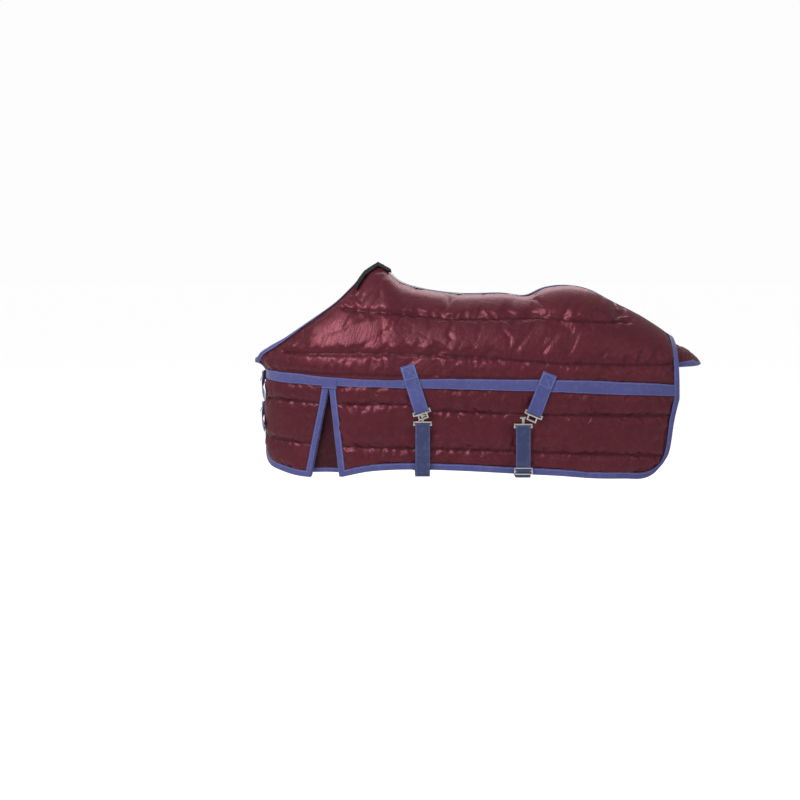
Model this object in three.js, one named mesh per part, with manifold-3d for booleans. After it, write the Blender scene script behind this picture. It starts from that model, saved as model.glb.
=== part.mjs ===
// Quilted horse rug, as worn. Millimetres, +Z up, -X towards the head, -Y the near side.
// The origin lies on the underside of the back seam tape, at the low of the back.
import * as THREE from 'three';
import { mergeVertices } from 'three/addons/utils/BufferGeometryUtils.js';
import Module from 'manifold-3d';

const wasm = await Module();
wasm.setup();

// Overall sizes of the body cloth, front edge to dock, widest half width and band's fall to the hem
const backLength = 1508;
const halfWidth = 283;
const depth = 613;

// Cloth layers, from the horse outwards
const liningThickness = 1;
const waddingThickness = 7.7;
const shellThickness = 1;
const layerGap = 0.3;

// Tapes and bindings
const tapeThickness = 1.2;
const tapeClearance = 0.7;
const bindingClearance = 1.7;
const bandWidth = 36;
const bindingWidth = 20;
const seamGap = 1.5;
const frontHalfGap = bindingClearance + tapeThickness + layerGap;
const seamTapeWidth = 24;
const seamTapeClearance = 1.5;

// Shoulder gusset
const gussetStation = 4;
const gussetGap = 0.034;
const gussetSpread = 0.3;
const patchHeight = 54;
const gussetInset = 8;
const gussetThickness = 3;

// Withers pad
const padWidth = 50;
const padThickness = 6;
const padStart = 5;
const padClearance = 2;

// Tail flap
const flapReach = 109;
const flapHalfWidth = 150;
const flapDrop = 82;
const flapThickness = 6;
const flapClearance = 6;
const flapTuck = 22;

// Surcingles
const webbingWidth = 50;
const webbingThickness = 2;
const plateThickness = 3;
const plateBar = 5;
const sideClearance = 0.7;
const foldRadius = 4;
const bellyBend = 14;
const foldLength = 26;
const hookGap = 5;
const hookDrop = 38;
const sliderHeight = 24;
const hiddenSliderY = 150;
const anchorLength = 70;
const surcingles = [
  { name: 'front', place: -0.145, lean: -50, topRise: 60, drop: 97, shift: 3, sag: 24, slideAcross: true },
  { name: 'rear', place: 0.105, lean: 58, topRise: 46, drop: 92, shift: -34, sag: 13, slideAcross: false },
];

// Chest closures
const chestWidth = 38;
const chestRadius = 300;
const chestTilt = 0.35;
const chestClearance = 2;
const buckleLength = 36;
const prongRoot = 5;
const chestLevels = [['upper', 40], ['lower', 153]];

// Stations from the centre front to the dock: the top edge, the side band and the hem.
// Each point is x, half width, z of the lining's inner face, and top points add how square
// the section above the band is, where 2 is an ellipse. They are drawn at the size of one
// cut, and the body cloth is scaled from it. The seam gaps and the ridge keep their own size.
const cut = { length: 1508, halfWidth: 283, depth: 613 };
const ridge = seamTapeClearance + tapeThickness;
const half = 0.5;
const topLine = [
  [-818, frontHalfGap, -226, 1.7], [-787, 62, -205, 1.7], [-715, 110, -167, 1.7],
  [-620, 132, -103, 1.6], [-512, 108, -26, 1.5], [-443, 62, 42, 1.4], [-374, half, 106, 1.4],
  [-288, half, 42, 1.6], [-95, half, ridge, 1.9], [80, half, ridge, 2], [164, half, -6, 2.1],
  [245, half, 25, 2.1], [358, half, 26, 2.2], [490, half, -35, 2.2], [588, half, -86, 2.2],
  [690, half, -153, 2.1],
];
const bandLine = [
  [-768, frontHalfGap, -272], [-744, 112, -273], [-688, 180, -275], [-612, 228, -277],
  [-532, 256, -279], [-432, 271, -281], [-345, 277, -283], [-262, 279, -285],
  [-100, 282, -288], [80, 283, -293], [165, 282, -296], [250, 280, -299], [375, 272, -306],
  [490, 256, -311], [585, 234, -316], [668, 205, -320],
];
const frontHem = [
  [-776, frontHalfGap, -522], [-742, 108, -588], [-690, 160, -604], [-642, 195, -611],
  [-596, 218, -613],
];
const rearHem = [
  [-499, 262, -606], [-405, 270, -585], [-330, 273, -578], [-235, 274, -576], [-85, 276, -580],
  [90, 277, -589], [165, 276, -593], [250, 272, -598], [365, 262, -608], [470, 245, -612],
  [545, 226, -612], [603, 205, -574],
];
const lengthRatio = backLength / cut.length;
const widthRatio = halfWidth / cut.halfWidth;
const depthRatio = depth / cut.depth;
for (const point of [topLine, bandLine, frontHem, rearHem].flat()) {
  point[0] *= lengthRatio;
  if (point[1] > frontHalfGap) point[1] *= widthRatio;
  if (point[2] !== ridge) point[2] *= depthRatio;
}
const lastStation = topLine.length - 1;
const withers = topLine.findIndex((point) => point[1] === half);

// Offsets of each layer from the lining's inner face
const liningOuter = liningThickness;
const waddingInner = liningOuter + layerGap;
const waddingOuter = waddingInner + waddingThickness;
const shellInner = waddingOuter + layerGap;
const shellOuter = shellInner + shellThickness;
const tapeInner = shellOuter + tapeClearance;
const tapeOuter = tapeInner + tapeThickness;
const bindingInner = tapeOuter + tapeClearance;
const bindingOuter = bindingInner + tapeThickness;
const patchInner = bindingOuter + tapeClearance;

const curveOf = (rows) => new THREE.CatmullRomCurve3(
  rows.map(([x, y, z]) => new THREE.Vector3(x, y, z)), false, 'centripetal');
const topCurve = curveOf(topLine);
const bandCurve = curveOf(bandLine);
const frontHemCurve = curveOf(frontHem);
const rearHemCurve = curveOf(rearHem);

function topAt(u) {
  const point = topCurve.getPoint(u / lastStation);
  point.y = Math.max(point.y, half);
  if (u >= withers) point.y = half;
  return point;
}

function bandAt(u) {
  return bandCurve.getPoint(u / lastStation);
}

function hemAt(u) {
  if (u < gussetStation) return frontHemCurve.getPoint(u / (frontHem.length - 1));
  return rearHemCurve.getPoint((u - gussetStation) / (rearHem.length - 1));
}

function squareness(u) {
  const low = Math.min(Math.floor(u), lastStation - 1);
  return THREE.MathUtils.lerp(topLine[low][3], topLine[low + 1][3], u - low);
}

// The surface of one side: row 0 is the top edge, 1 the side band and 2 the hem
function surface(u, row) {
  const band = bandAt(u);
  if (row <= 1) {
    const top = topAt(u);
    const power = 2 / squareness(u);
    const out = Math.sin(row * Math.PI / 2) ** power;
    const down = 1 - Math.cos(row * Math.PI / 2) ** power;
    return new THREE.Vector3(
      top.x + (band.x - top.x) * out, top.y + (band.y - top.y) * out, top.z + (band.z - top.z) * down);
  }
  const hem = hemAt(u);
  const start = patchHeight / 2 / band.distanceTo(hem);
  const drift = Math.max(0, (row - 1 - start) / (1 - start));
  return new THREE.Vector3(
    band.x + (hem.x - band.x) * drift, band.y + (hem.y - band.y) * drift,
    band.z + (hem.z - band.z) * (row - 1));
}

function normalAt(u, row) {
  const step = 0.02;
  const back = u - step >= 0 && !(u > gussetStation && u - step < gussetStation) ? u - step : u;
  const ahead = u < gussetStation && u + step >= gussetStation ? u : Math.min(u + step, lastStation);
  const along = surface(ahead, row).sub(surface(back, row));
  const low = row > 1 ? Math.max(row - step, 1) : Math.max(row - step, 0);
  const high = row > 1 ? Math.min(row + step, 2) : Math.min(row + step, 1);
  const across = surface(u, high).sub(surface(u, low));
  const normal = along.cross(across).normalize();
  const onCentre = u === 0 || (row === 0 && u >= withers);
  if (onCentre) normal.setY(0).normalize();
  return normal;
}

// Rows follow the binding, the band and the gusset patch, so that tapes lie on whole cells
function upperRows(u) {
  const depth = topAt(u).distanceTo(bandAt(u));
  const edge = Math.min(bindingWidth / depth, 0.25);
  const band = 1 - Math.min(bandWidth / 2 / depth, 0.3);
  const pad = edge + Math.min((padWidth - bindingWidth) / depth, 0.15);
  const third = (band - pad) / 3;
  return [0, edge, pad, pad + third, pad + 2 * third, band, 1 - Math.min(seamGap / depth, 0.02)];
}

function lowerRows(u) {
  const depth = bandAt(u).distanceTo(hemAt(u));
  return [1 + seamGap / depth, 1 + bandWidth / 2 / depth, 1 + patchHeight / 2 / depth, 1.55,
    2 - bindingWidth / depth, 2];
}

const edgeStep = bindingWidth / bandAt(0).distanceTo(bandAt(1));
const rearStep = bindingWidth / bandAt(lastStation).distanceTo(bandAt(lastStation - 1));
const frontLines = [0, edgeStep, 0.55, 1, 2, 3, gussetStation - gussetSpread,
  gussetStation - gussetGap];
const rearLines = [gussetStation + gussetGap, gussetStation + gussetSpread];
for (let station = gussetStation + 1; station < lastStation; station += 1) rearLines.push(station);
rearLines.splice(rearLines.indexOf(withers), 1, withers - 0.5, withers, withers + 0.45);
rearLines.push(lastStation - rearStep, lastStation);

function makeGrid(lines, rowsOf) {
  const points = lines.map((u) => rowsOf(u).map((row) => surface(u, row)));
  const normals = lines.map((u) => rowsOf(u).map((row) => normalAt(u, row)));
  return { points, normals };
}

function solid(vertices, triangles) {
  let volume = 0;
  for (const [a, b, c] of triangles) volume += vertices[a].dot(vertices[b].clone().cross(vertices[c]));
  const order = volume < 0 ? ([a, b, c]) => [a, c, b] : (triangle) => triangle;
  const geometry = new THREE.BufferGeometry();
  geometry.setAttribute('position', new THREE.Float32BufferAttribute(vertices.flatMap((v) => [v.x, v.y, v.z]), 3));
  geometry.setIndex(triangles.flatMap(order));
  geometry.computeVertexNormals();
  return geometry;
}

function toManifold(geometry) {
  const plain = geometry.clone().deleteAttribute('normal').deleteAttribute('uv');
  const merged = mergeVertices(plain, 1e-4);
  const vertProperties = new Float32Array(merged.attributes.position.array);
  return new wasm.Manifold(new wasm.Mesh({ numProp: 3, vertProperties, triVerts: new Uint32Array(merged.index.array) }));
}

function joined([first, ...others]) {
  const whole = others.reduce((body, geometry) => body.add(toManifold(geometry)), toManifold(first));
  const { vertProperties, triVerts } = whole.getMesh();
  const geometry = new THREE.BufferGeometry();
  geometry.setAttribute('position', new THREE.BufferAttribute(vertProperties, 3));
  geometry.setIndex([...triVerts]);
  geometry.computeVertexNormals();
  return geometry;
}

const mirrored = (point, side) => new THREE.Vector3(point.x, point.y * side, point.z);

// A sheet between two offsets of a grid, closed round its rim
function sheet(grid, inner, outer, side = 1) {
  const across = grid.points[0].length;
  const along = grid.points.length;
  const layer = (offset) => grid.points.flatMap((column, i) => column.map(
    (point, j) => mirrored(point.clone().addScaledVector(grid.normals[i][j], offset), side)));
  const vertices = [...layer(outer), ...layer(inner)];
  const under = across * along;
  const triangles = [];
  const quad = (a, b, c, d) => triangles.push([a, b, c], [a, c, d]);
  for (let i = 0; i < along - 1; i += 1) {
    for (let j = 0; j < across - 1; j += 1) {
      const a = i * across + j;
      const b = a + across;
      quad(a, b, b + 1, a + 1);
      triangles.push([under + a, under + b + 1, under + b], [under + a, under + a + 1, under + b + 1]);
    }
  }
  const rim = [];
  for (let i = 0; i < along; i += 1) rim.push(i * across);
  for (let j = 1; j < across; j += 1) rim.push((along - 1) * across + j);
  for (let i = along - 2; i >= 0; i -= 1) rim.push(i * across + across - 1);
  for (let j = across - 2; j > 0; j -= 1) rim.push(j);
  rim.forEach((a, k) => {
    const b = rim[(k + 1) % rim.length];
    quad(b, a, under + a, under + b);
  });
  return solid(vertices, triangles);
}

// A closed section carried through rings of matching points, with its two ends capped.
// Points that coincide are merged, so a ring may share points with its neighbour. The legs
// of a binding are split along the diagonals of the cloth under them, which start at the
// cloth's edge when fromEdge is set and inside it otherwise. Both faces of a leg or of the
// web take the same diagonal.
function sweep(rings, capQuads, fromEdge = false) {
  const vertices = [];
  const index = rings.map((ring) => ring.map((point) => {
    const found = vertices.findIndex((other) => other.distanceToSquared(point) < 1e-8);
    return found >= 0 ? found : vertices.push(point) - 1;
  }));
  const size = rings[0].length;
  const triangles = [];
  const add = (a, b, c) => {
    if (a !== b && b !== c && a !== c) triangles.push([a, b, c]);
  };
  for (let i = 0; i < rings.length - 1; i += 1) {
    for (let k = 0; k < size; k += 1) {
      const next = (k + 1) % size;
      const [a, b, c, d] = [index[i][k], index[i][next], index[i + 1][next], index[i + 1][k]];
      const turned = k === 1 || k % 4 === (fromEdge ? 0 : 2);
      add(a, b, turned ? d : c);
      add(turned ? b : a, c, d);
    }
  }
  for (const [a, b, c, d] of capQuads) {
    const first = index[0];
    const last = index[rings.length - 1];
    triangles.push([first[a], first[c], first[b]], [first[a], first[d], first[c]]);
    triangles.push([last[a], last[b], last[c]], [last[a], last[c], last[d]]);
  }
  return solid(vertices, triangles);
}

// Ring of a folded binding: an outer leg, a web past the cloth's edge and an inner leg
function bindingRing(edge, edgeNormal, inside, insideNormal, low, high, under, thickness) {
  const out = edge.clone().sub(inside);
  if (Math.abs(edge.y) < 2 * half) out.setY(0);
  out.addScaledVector(edgeNormal, -out.dot(edgeNormal)).normalize();
  const at = (point, normal, offset, beyond) => point.clone()
    .addScaledVector(normal, offset).addScaledVector(out, beyond);
  return [
    at(inside, insideNormal, high, 0), at(edge, edgeNormal, high, under + thickness),
    at(edge, edgeNormal, -under - thickness, under + thickness),
    at(inside, insideNormal, -under - thickness, 0), at(inside, insideNormal, -under, 0),
    at(edge, edgeNormal, -under, under), at(edge, edgeNormal, low, under),
    at(inside, insideNormal, low, 0),
  ];
}
const bindingCaps = [[0, 1, 6, 7], [1, 2, 5, 6], [2, 3, 4, 5]];

function shortenStart(rings, length) {
  const gap = rings[0][1].distanceTo(rings[1][1]);
  return rings.map((ring, i) => (i > 0 ? ring : ring.map((point, k) => point.clone()
    .lerp(rings[1][k], Math.min(length / gap, 0.5)))));
}

function binding(grid, path, side, startGap = 0) {
  const lastColumn = grid.points.length - 1;
  const lastRow = grid.points[0].length - 1;
  let rings = path.map(([i, j]) => {
    const ii = path.alongTop ? i : THREE.MathUtils.clamp(i, 1, lastColumn - 1);
    const jj = path.alongTop ? 1 : Math.min(j, lastRow - 1);
    return bindingRing(grid.points[i][j], grid.normals[i][j], grid.points[ii][jj],
      grid.normals[ii][jj], bindingInner, bindingOuter, bindingClearance, tapeThickness);
  });
  if (startGap > 0) rings = shortenStart(rings, startGap);
  return sweep(rings.map((ring) => ring.map((point) => mirrored(point, side))), bindingCaps, path.alongTop);
}

const maroon = { color: 0x5c1f2c, roughness: 0.42, metalness: 0 };
const liningCloth = { color: 0x1d1d2c, roughness: 0.7, metalness: 0 };
const filling = { color: 0xe6e4dc, roughness: 0.95, metalness: 0 };
const blueTape = { color: 0x5a5ca5, roughness: 0.75, metalness: 0 };
const webbing = { color: 0x3c4a86, roughness: 0.8, metalness: 0 };
const fleece = { color: 0x101213, roughness: 1, metalness: 0 };
const chrome = { color: 0xd5d2c8, roughness: 0.18, metalness: 1 };

const rug = new THREE.Group();

function addTo(parent, name, geometry, finish) {
  const mesh = new THREE.Mesh(geometry, new THREE.MeshStandardMaterial(finish));
  mesh.name = name;
  parent.add(mesh);
  return mesh;
}
const add = (name, geometry, finish) => addTo(rug, name, geometry, finish);

const allLines = [...frontLines, ...rearLines];
const upperGrid = makeGrid(allLines, upperRows);
const frontGrid = makeGrid(frontLines, lowerRows);
const rearGrid = makeGrid(rearLines, lowerRows);
const bothRows = (u) => [...upperRows(u), ...lowerRows(u)];
const wholeFront = makeGrid(frontLines, bothRows);
const wholeRear = makeGrid(rearLines, bothRows);
const sides = [['near', -1], ['off', 1]];

// Three quilted panels a side, each of lining, wadding and shell
function quiltedPanels(sideName, side) {
  for (const [panel, grid] of [['upper', upperGrid], ['front', frontGrid], ['lower', rearGrid]]) {
    add(`${sideName}_${panel}_lining`, sheet(grid, 0, liningOuter, side), liningCloth);
    add(`${sideName}_${panel}_wadding`, sheet(grid, waddingInner, waddingOuter, side), filling);
    add(`${sideName}_${panel}_shell`, sheet(grid, shellInner, shellOuter, side), maroon);
  }
}

// Rows of a combined grid: the upper panel has 7 and the lower one 6
const bandTopRow = 5;
const bandBottomRow = 8;
const patchRow = 9;
const hemRow = 12;

function pick(grid, columns, rows) {
  const choose = (table) => table.slice(...columns)
    .map((column) => column.slice(...rows).map((point) => point.clone()));
  return { points: choose(grid.points), normals: choose(grid.normals) };
}

function join(first, second) {
  return { points: [...first.points, ...second.points], normals: [...first.normals, ...second.normals] };
}

function sideTapes(sideName, side) {
  const bandRows = [bandTopRow, bandBottomRow + 1];
  const band = join(pick(wholeFront, [0], bandRows), pick(wholeRear, [0], bandRows));
  add(`${sideName}_side_band`, sheet(band, tapeInner, tapeOuter, side), blueTape);

  const neckPath = frontLines.map((u, i) => [i, 0]);
  rearLines.filter((u) => u <= withers).forEach((u, i) => neckPath.push([frontLines.length + i, 0]));
  neckPath.alongTop = true;
  add(`${sideName}_neck_binding`, binding(upperGrid, neckPath, side), blueTape);

  const lastFront = frontLines.length - 1;
  const frontPath = [];
  for (let j = 1; j < hemRow; j += 1) frontPath.push([0, j]);
  for (let i = 0; i <= lastFront; i += 1) frontPath.push([i, hemRow]);
  for (let j = hemRow - 1; j > bandBottomRow; j -= 1) frontPath.push([lastFront, j]);
  add(`${sideName}_front_binding`, binding(wholeFront, frontPath, side, 2), blueTape);

  const lastRear = rearLines.length - 1;
  const rearPath = [];
  for (let j = patchRow; j < hemRow; j += 1) rearPath.push([0, j]);
  for (let i = 0; i <= lastRear; i += 1) rearPath.push([i, hemRow]);
  for (let j = hemRow - 1; j > 0; j -= 1) rearPath.push([lastRear, j]);
  add(`${sideName}_rear_binding`, binding(wholeRear, rearPath, side), blueTape);

  const patchRows = [bandTopRow, patchRow + 1];
  const patch = join(pick(wholeFront, [lastFront - 1], patchRows), pick(wholeRear, [0, 2], patchRows));
  add(`${sideName}_gusset_patch`, sheet(patch, patchInner, patchInner + tapeThickness, side), blueTape);
}

// The gusset bridges the V on the horse's side of the panels
function gusset(sideName, side) {
  const lastFront = frontLines.length - 1;
  const rows = [2, 5];
  const grid = join(pick(frontGrid, [lastFront - 1], rows), pick(rearGrid, [0, 2], rows));
  const outer = -gussetInset;
  const inner = outer - gussetThickness;
  add(`${sideName}_gusset`, sheet(grid, inner, outer, side), maroon);
  const edge = grid.points[0].length - 1;
  const rings = grid.points.map((column, i) => {
    const normals = grid.normals[i];
    const inside = column[edge].clone().lerp(column[edge - 1], bindingWidth / column[edge].distanceTo(column[edge - 1]));
    return bindingRing(column[edge], normals[edge], inside, normals[edge], outer + tapeClearance,
      outer + tapeClearance + tapeThickness, bindingClearance - inner, tapeThickness);
  });
  const bound = rings.map((ring) => ring.map((point) => mirrored(point, side)));
  add(`${sideName}_gusset_binding`, sweep(bound, bindingCaps), blueTape);
}

// Tape over the back seam, and the flat tape under it that rests on the horse
function spineTapes() {
  const first = frontLines.length + rearLines.indexOf(withers);
  const ends = [first, upperGrid.points.length];
  const rightWay = pick(upperGrid, ends, [0, 2]);
  const strip = { points: [], normals: [] };
  rightWay.points.forEach(([centre, edge], i) => {
    const [centreNormal, edgeNormal] = rightWay.normals[i];
    strip.points.push([mirrored(edge, -1), mirrored(centre, -1), centre, edge]);
    strip.normals.push([mirrored(edgeNormal, -1), mirrored(centreNormal, -1), centreNormal, edgeNormal]);
  });
  add('spine_binding', sheet(strip, tapeInner, tapeOuter), blueTape);

  const stations = rearLines.filter((u) => u > withers && u < lastStation - rearStep);
  const rings = stations.map((u) => {
    const centre = topAt(u);
    const beside = surface(u, upperRows(u)[1]);
    const level = Math.abs(centre.z - ridge) < layerGap;
    const slope = (centre.z - beside.z) / (beside.y - centre.y);
    const drop = level ? 0 : slope * seamTapeWidth / 2;
    const z = centre.z - ridge;
    return [
      [seamTapeWidth / 2, z - drop], [seamTapeWidth / 2, z - drop + tapeThickness], [0, z + tapeThickness],
      [-seamTapeWidth / 2, z - drop + tapeThickness], [-seamTapeWidth / 2, z - drop], [0, z],
    ].map(([y, height]) => new THREE.Vector3(centre.x, y, height));
  });
  add('spine_seam_tape', sweep(rings, [[0, 1, 2, 5], [5, 2, 3, 4]]), blueTape);
}

// Fleece laid over the neck edge and the end of the back seam at the withers, in one piece
function withersPad() {
  const first = frontLines.length + rearLines.indexOf(padStart);
  const end = frontLines.length + rearLines.indexOf(withers) + 2;
  const grid = pick(upperGrid, [first, end], [0, 3]);
  grid.points.forEach((column) => column.forEach((point) => {
    if (point.y <= half) point.setY(0);
  }));
  const low = bindingOuter + padClearance;
  const halves = [1, -1].map((side) => sheet(grid, low, low + padThickness, side));
  add('withers_pad', joined(halves), fleece);
}

// Tail flap: a quilted cap that hangs from under the dock end of the back seam
const flapRoot = topAt(lastStation);
const flapSpread = [-1, -0.75, -0.5, -0.25, 0, 0.25, 0.5, 0.75, 1];
const flapRows = [0, 0.3, 0.6, 0.85, 1];

function flapPoint(across, down) {
  const row = 0.02 + 0.42 * Math.abs(across);
  const root = surface(lastStation, row).addScaledVector(normalAt(lastStation, row), -flapClearance);
  root.x -= flapTuck;
  const sign = Math.sign(across);
  const start = new THREE.Vector3(root.x, root.y * sign * Math.min(1, 6 * Math.abs(across)), root.z);
  const reach = flapReach * (1 - Math.abs(across) ** 2.4);
  const tip = new THREE.Vector3(flapRoot.x + reach - 8 * Math.abs(across), flapHalfWidth * across,
    flapRoot.z - flapDrop - flapThickness);
  const crown = new THREE.Vector3(
    start.x + (tip.x - start.x) * 0.72, start.y + (tip.y - start.y) * 0.8, start.z + (tip.z - start.z) * 0.28);
  return new THREE.QuadraticBezierCurve3(start, crown, tip).getPoint(down);
}

function flapGrid() {
  const points = flapSpread.map((across) => flapRows.map((down) => flapPoint(across, down)));
  const normals = flapSpread.map((across) => flapRows.map((down) => {
    const step = 0.01;
    const low = Math.max(across - step, -1);
    const high = Math.min(across + step, 1);
    const sideways = flapPoint(high, down).sub(flapPoint(low, down));
    const along = flapPoint(across, Math.min(down + step, 1)).sub(flapPoint(across, Math.max(down - step, 0)));
    return along.cross(sideways).normalize();
  }));
  return { points, normals };
}

function tailFlap() {
  const grid = flapGrid();
  add('tail_flap', sheet(grid, -flapThickness, 0), maroon);
  const edge = flapRows.length - 1;
  const rings = grid.points.map((column, i) => {
    const normal = grid.normals[i][edge];
    const inside = column[edge].clone().lerp(column[edge - 1],
      Math.min(bindingWidth / column[edge].distanceTo(column[edge - 1]), 0.8));
    return bindingRing(column[edge], normal, inside, normal, bindingClearance,
      bindingClearance + tapeThickness, flapThickness + bindingClearance, tapeThickness);
  });
  add('tail_flap_binding', sweep(rings, bindingCaps), blueTape);
}

// Webbing as a flat strip: its centre line in one plane, pushed out to its width
function strip(line, thickness) {
  const left = [];
  const right = [];
  line.forEach((point, i) => {
    const before = line[Math.max(i - 1, 0)];
    const after = line[Math.min(i + 1, line.length - 1)];
    const first = point.clone().sub(before).normalize();
    const second = after.clone().sub(point).normalize();
    const along = first.add(second).normalize();
    const bend = i > 0 && i < line.length - 1 ? second.dot(along) : 1;
    const sideways = new THREE.Vector2(-along.y, along.x).multiplyScalar(thickness / 2 / Math.max(bend, 0.5));
    left.push(point.clone().add(sideways));
    right.push(point.clone().sub(sideways));
  });
  return new THREE.Shape([...left, ...right.reverse()]);
}

function arcPoints(centreX, centreY, radius, from, to, steps) {
  return Array.from({ length: steps + 1 }, (_, k) => {
    const angle = from + (to - from) * k / steps;
    return new THREE.Vector2(centreX + radius * Math.cos(angle), centreY + radius * Math.sin(angle));
  });
}

// A profile drawn in y and z, pushed along x about x = 0
function acrossX(shape, width) {
  const geometry = new THREE.ExtrudeGeometry(shape, { depth: width, bevelEnabled: false });
  geometry.translate(0, 0, -width / 2);
  const basis = new THREE.Matrix4().makeBasis(
    new THREE.Vector3(0, 1, 0), new THREE.Vector3(0, 0, 1), new THREE.Vector3(1, 0, 0));
  return geometry.applyMatrix4(basis);
}

// A plate drawn in x and z, with its thickness along y about y = 0
function upright(shape, thickness) {
  const geometry = new THREE.ExtrudeGeometry(shape, { depth: thickness, bevelEnabled: false, curveSegments: 2 });
  geometry.translate(0, 0, -thickness / 2);
  return geometry.rotateX(Math.PI / 2);
}

function roundedRect(path, left, bottom, width, height, radius) {
  const right = left + width;
  const top = bottom + height;
  path.moveTo(left + radius, bottom);
  path.lineTo(right - radius, bottom);
  path.absarc(right - radius, bottom + radius, radius, -Math.PI / 2, 0);
  path.lineTo(right, top - radius);
  path.absarc(right - radius, top - radius, radius, 0, Math.PI / 2);
  path.lineTo(left + radius, top);
  path.absarc(left + radius, top - radius, radius, Math.PI / 2, Math.PI);
  path.lineTo(left, bottom + radius);
  path.absarc(left + radius, bottom + radius, radius, Math.PI, 1.5 * Math.PI);
  return path;
}

const slotWidth = webbingWidth + 3;
const plateWidth = slotWidth + 2 * plateBar;
const widest = Math.max(...bandLine.map(([, width]) => width));
const hookY = widest + shellOuter + sideClearance + webbingThickness / 2 + foldRadius;
const plateY = hookY + plateThickness + hookGap;
const backLeg = plateY - foldRadius;
const frontLeg = plateY + foldRadius;

const slotBelow = 2;
const slotAbove = 3;

function outline(points) {
  return new THREE.Shape(points.map(([x, z]) => new THREE.Vector2(x, z)));
}

// Plate with a slot for the webbing and a keyhole tongue below it; z = 0 is the webbing's fold
function eyePlate() {
  const tongueWidth = 34;
  const tongueDrop = 24;
  const keyholeWidth = 24;
  const low = -slotBelow - plateBar;
  const shape = outline([
    [-plateWidth / 2, slotAbove + plateBar], [-plateWidth / 2, low + 1], [-tongueWidth / 2, low],
    [-tongueWidth / 2, -tongueDrop], [tongueWidth / 2, -tongueDrop], [tongueWidth / 2, low],
    [plateWidth / 2, low + 1], [plateWidth / 2, slotAbove + plateBar],
  ]);
  shape.holes.push(roundedRect(new THREE.Path(), -slotWidth / 2, -slotBelow, slotWidth, slotBelow + slotAbove, 1));
  shape.holes.push(roundedRect(new THREE.Path(), -keyholeWidth / 2, plateBar - tongueDrop, keyholeWidth,
    low - plateBar + tongueDrop, 2));
  return upright(shape, plateThickness);
}

// Plate with a slot for the belly strap, a stem and a T head; z = 0 is the webbing's fold
function hookPlate() {
  const stem = 9;
  const headWidth = 22;
  const headHeight = 6;
  const reach = 30;
  const top = slotBelow + plateBar;
  const shape = outline([
    [-plateWidth / 2, -slotAbove - plateBar], [plateWidth / 2, -slotAbove - plateBar],
    [plateWidth / 2, top], [stem / 2, top], [stem / 2, reach - headHeight], [headWidth / 2, reach - headHeight],
    [headWidth / 2, reach], [-headWidth / 2, reach], [-headWidth / 2, reach - headHeight],
    [-stem / 2, reach - headHeight], [-stem / 2, top], [-plateWidth / 2, top],
  ]);
  shape.holes.push(roundedRect(new THREE.Path(), -slotWidth / 2, -slotAbove, slotWidth, slotBelow + slotAbove, 1));
  return upright(shape, plateThickness);
}

function slidePlate() {
  const height = 24;
  const wire = 4;
  const shape = roundedRect(new THREE.Shape(), -plateWidth / 2, -height / 2, plateWidth, height, 3);
  const window = height / 2 - 1.5 * wire;
  for (const bottom of [-height / 2 + wire, wire / 2]) {
    shape.holes.push(roundedRect(new THREE.Path(), -plateWidth / 2 + wire, bottom, plateWidth - 2 * wire, window, 1));
  }
  return upright(shape, plateThickness);
}

function levelAt(curve, x) {
  const nearer = (best, point) => (Math.abs(point.x - x) < Math.abs(best.x - x) ? point : best);
  return curve.getSpacedPoints(120).reduce(nearer).z;
}
const bandLevelAt = (x) => levelAt(bandCurve, x);
const hemLevelAt = (x) => levelAt(rearHemCurve, x);

// The upper strap leans from its stitched top to the eye, so it is drawn straight and turned
function upperStrap({ name, place, lean, topRise, drop }) {
  const eyeX = place * backLength;
  const topX = eyeX + lean;
  const level = bandLevelAt(topX);
  const topZ = level + topRise;
  const eyeZ = level - drop;
  const length = Math.hypot(eyeX - topX, topZ - eyeZ);
  const upper = new THREE.Group();
  upper.position.set(topX, 0, topZ);
  upper.rotation.y = -Math.atan2(eyeX - topX, topZ - eyeZ);
  rug.add(upper);
  const fold = arcPoints(-plateY, foldRadius - length, foldRadius, -Math.PI, 0, 6);
  const line = [new THREE.Vector2(-frontLeg, 0), ...fold,
    new THREE.Vector2(-backLeg, foldRadius - length + foldLength)];
  addTo(upper, `${name}_upper_strap`, acrossX(strip(line, webbingThickness), webbingWidth), webbing);
  addTo(upper, `${name}_eye_plate`, eyePlate(), chrome).position.set(0, -plateY, -length);
}

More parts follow.
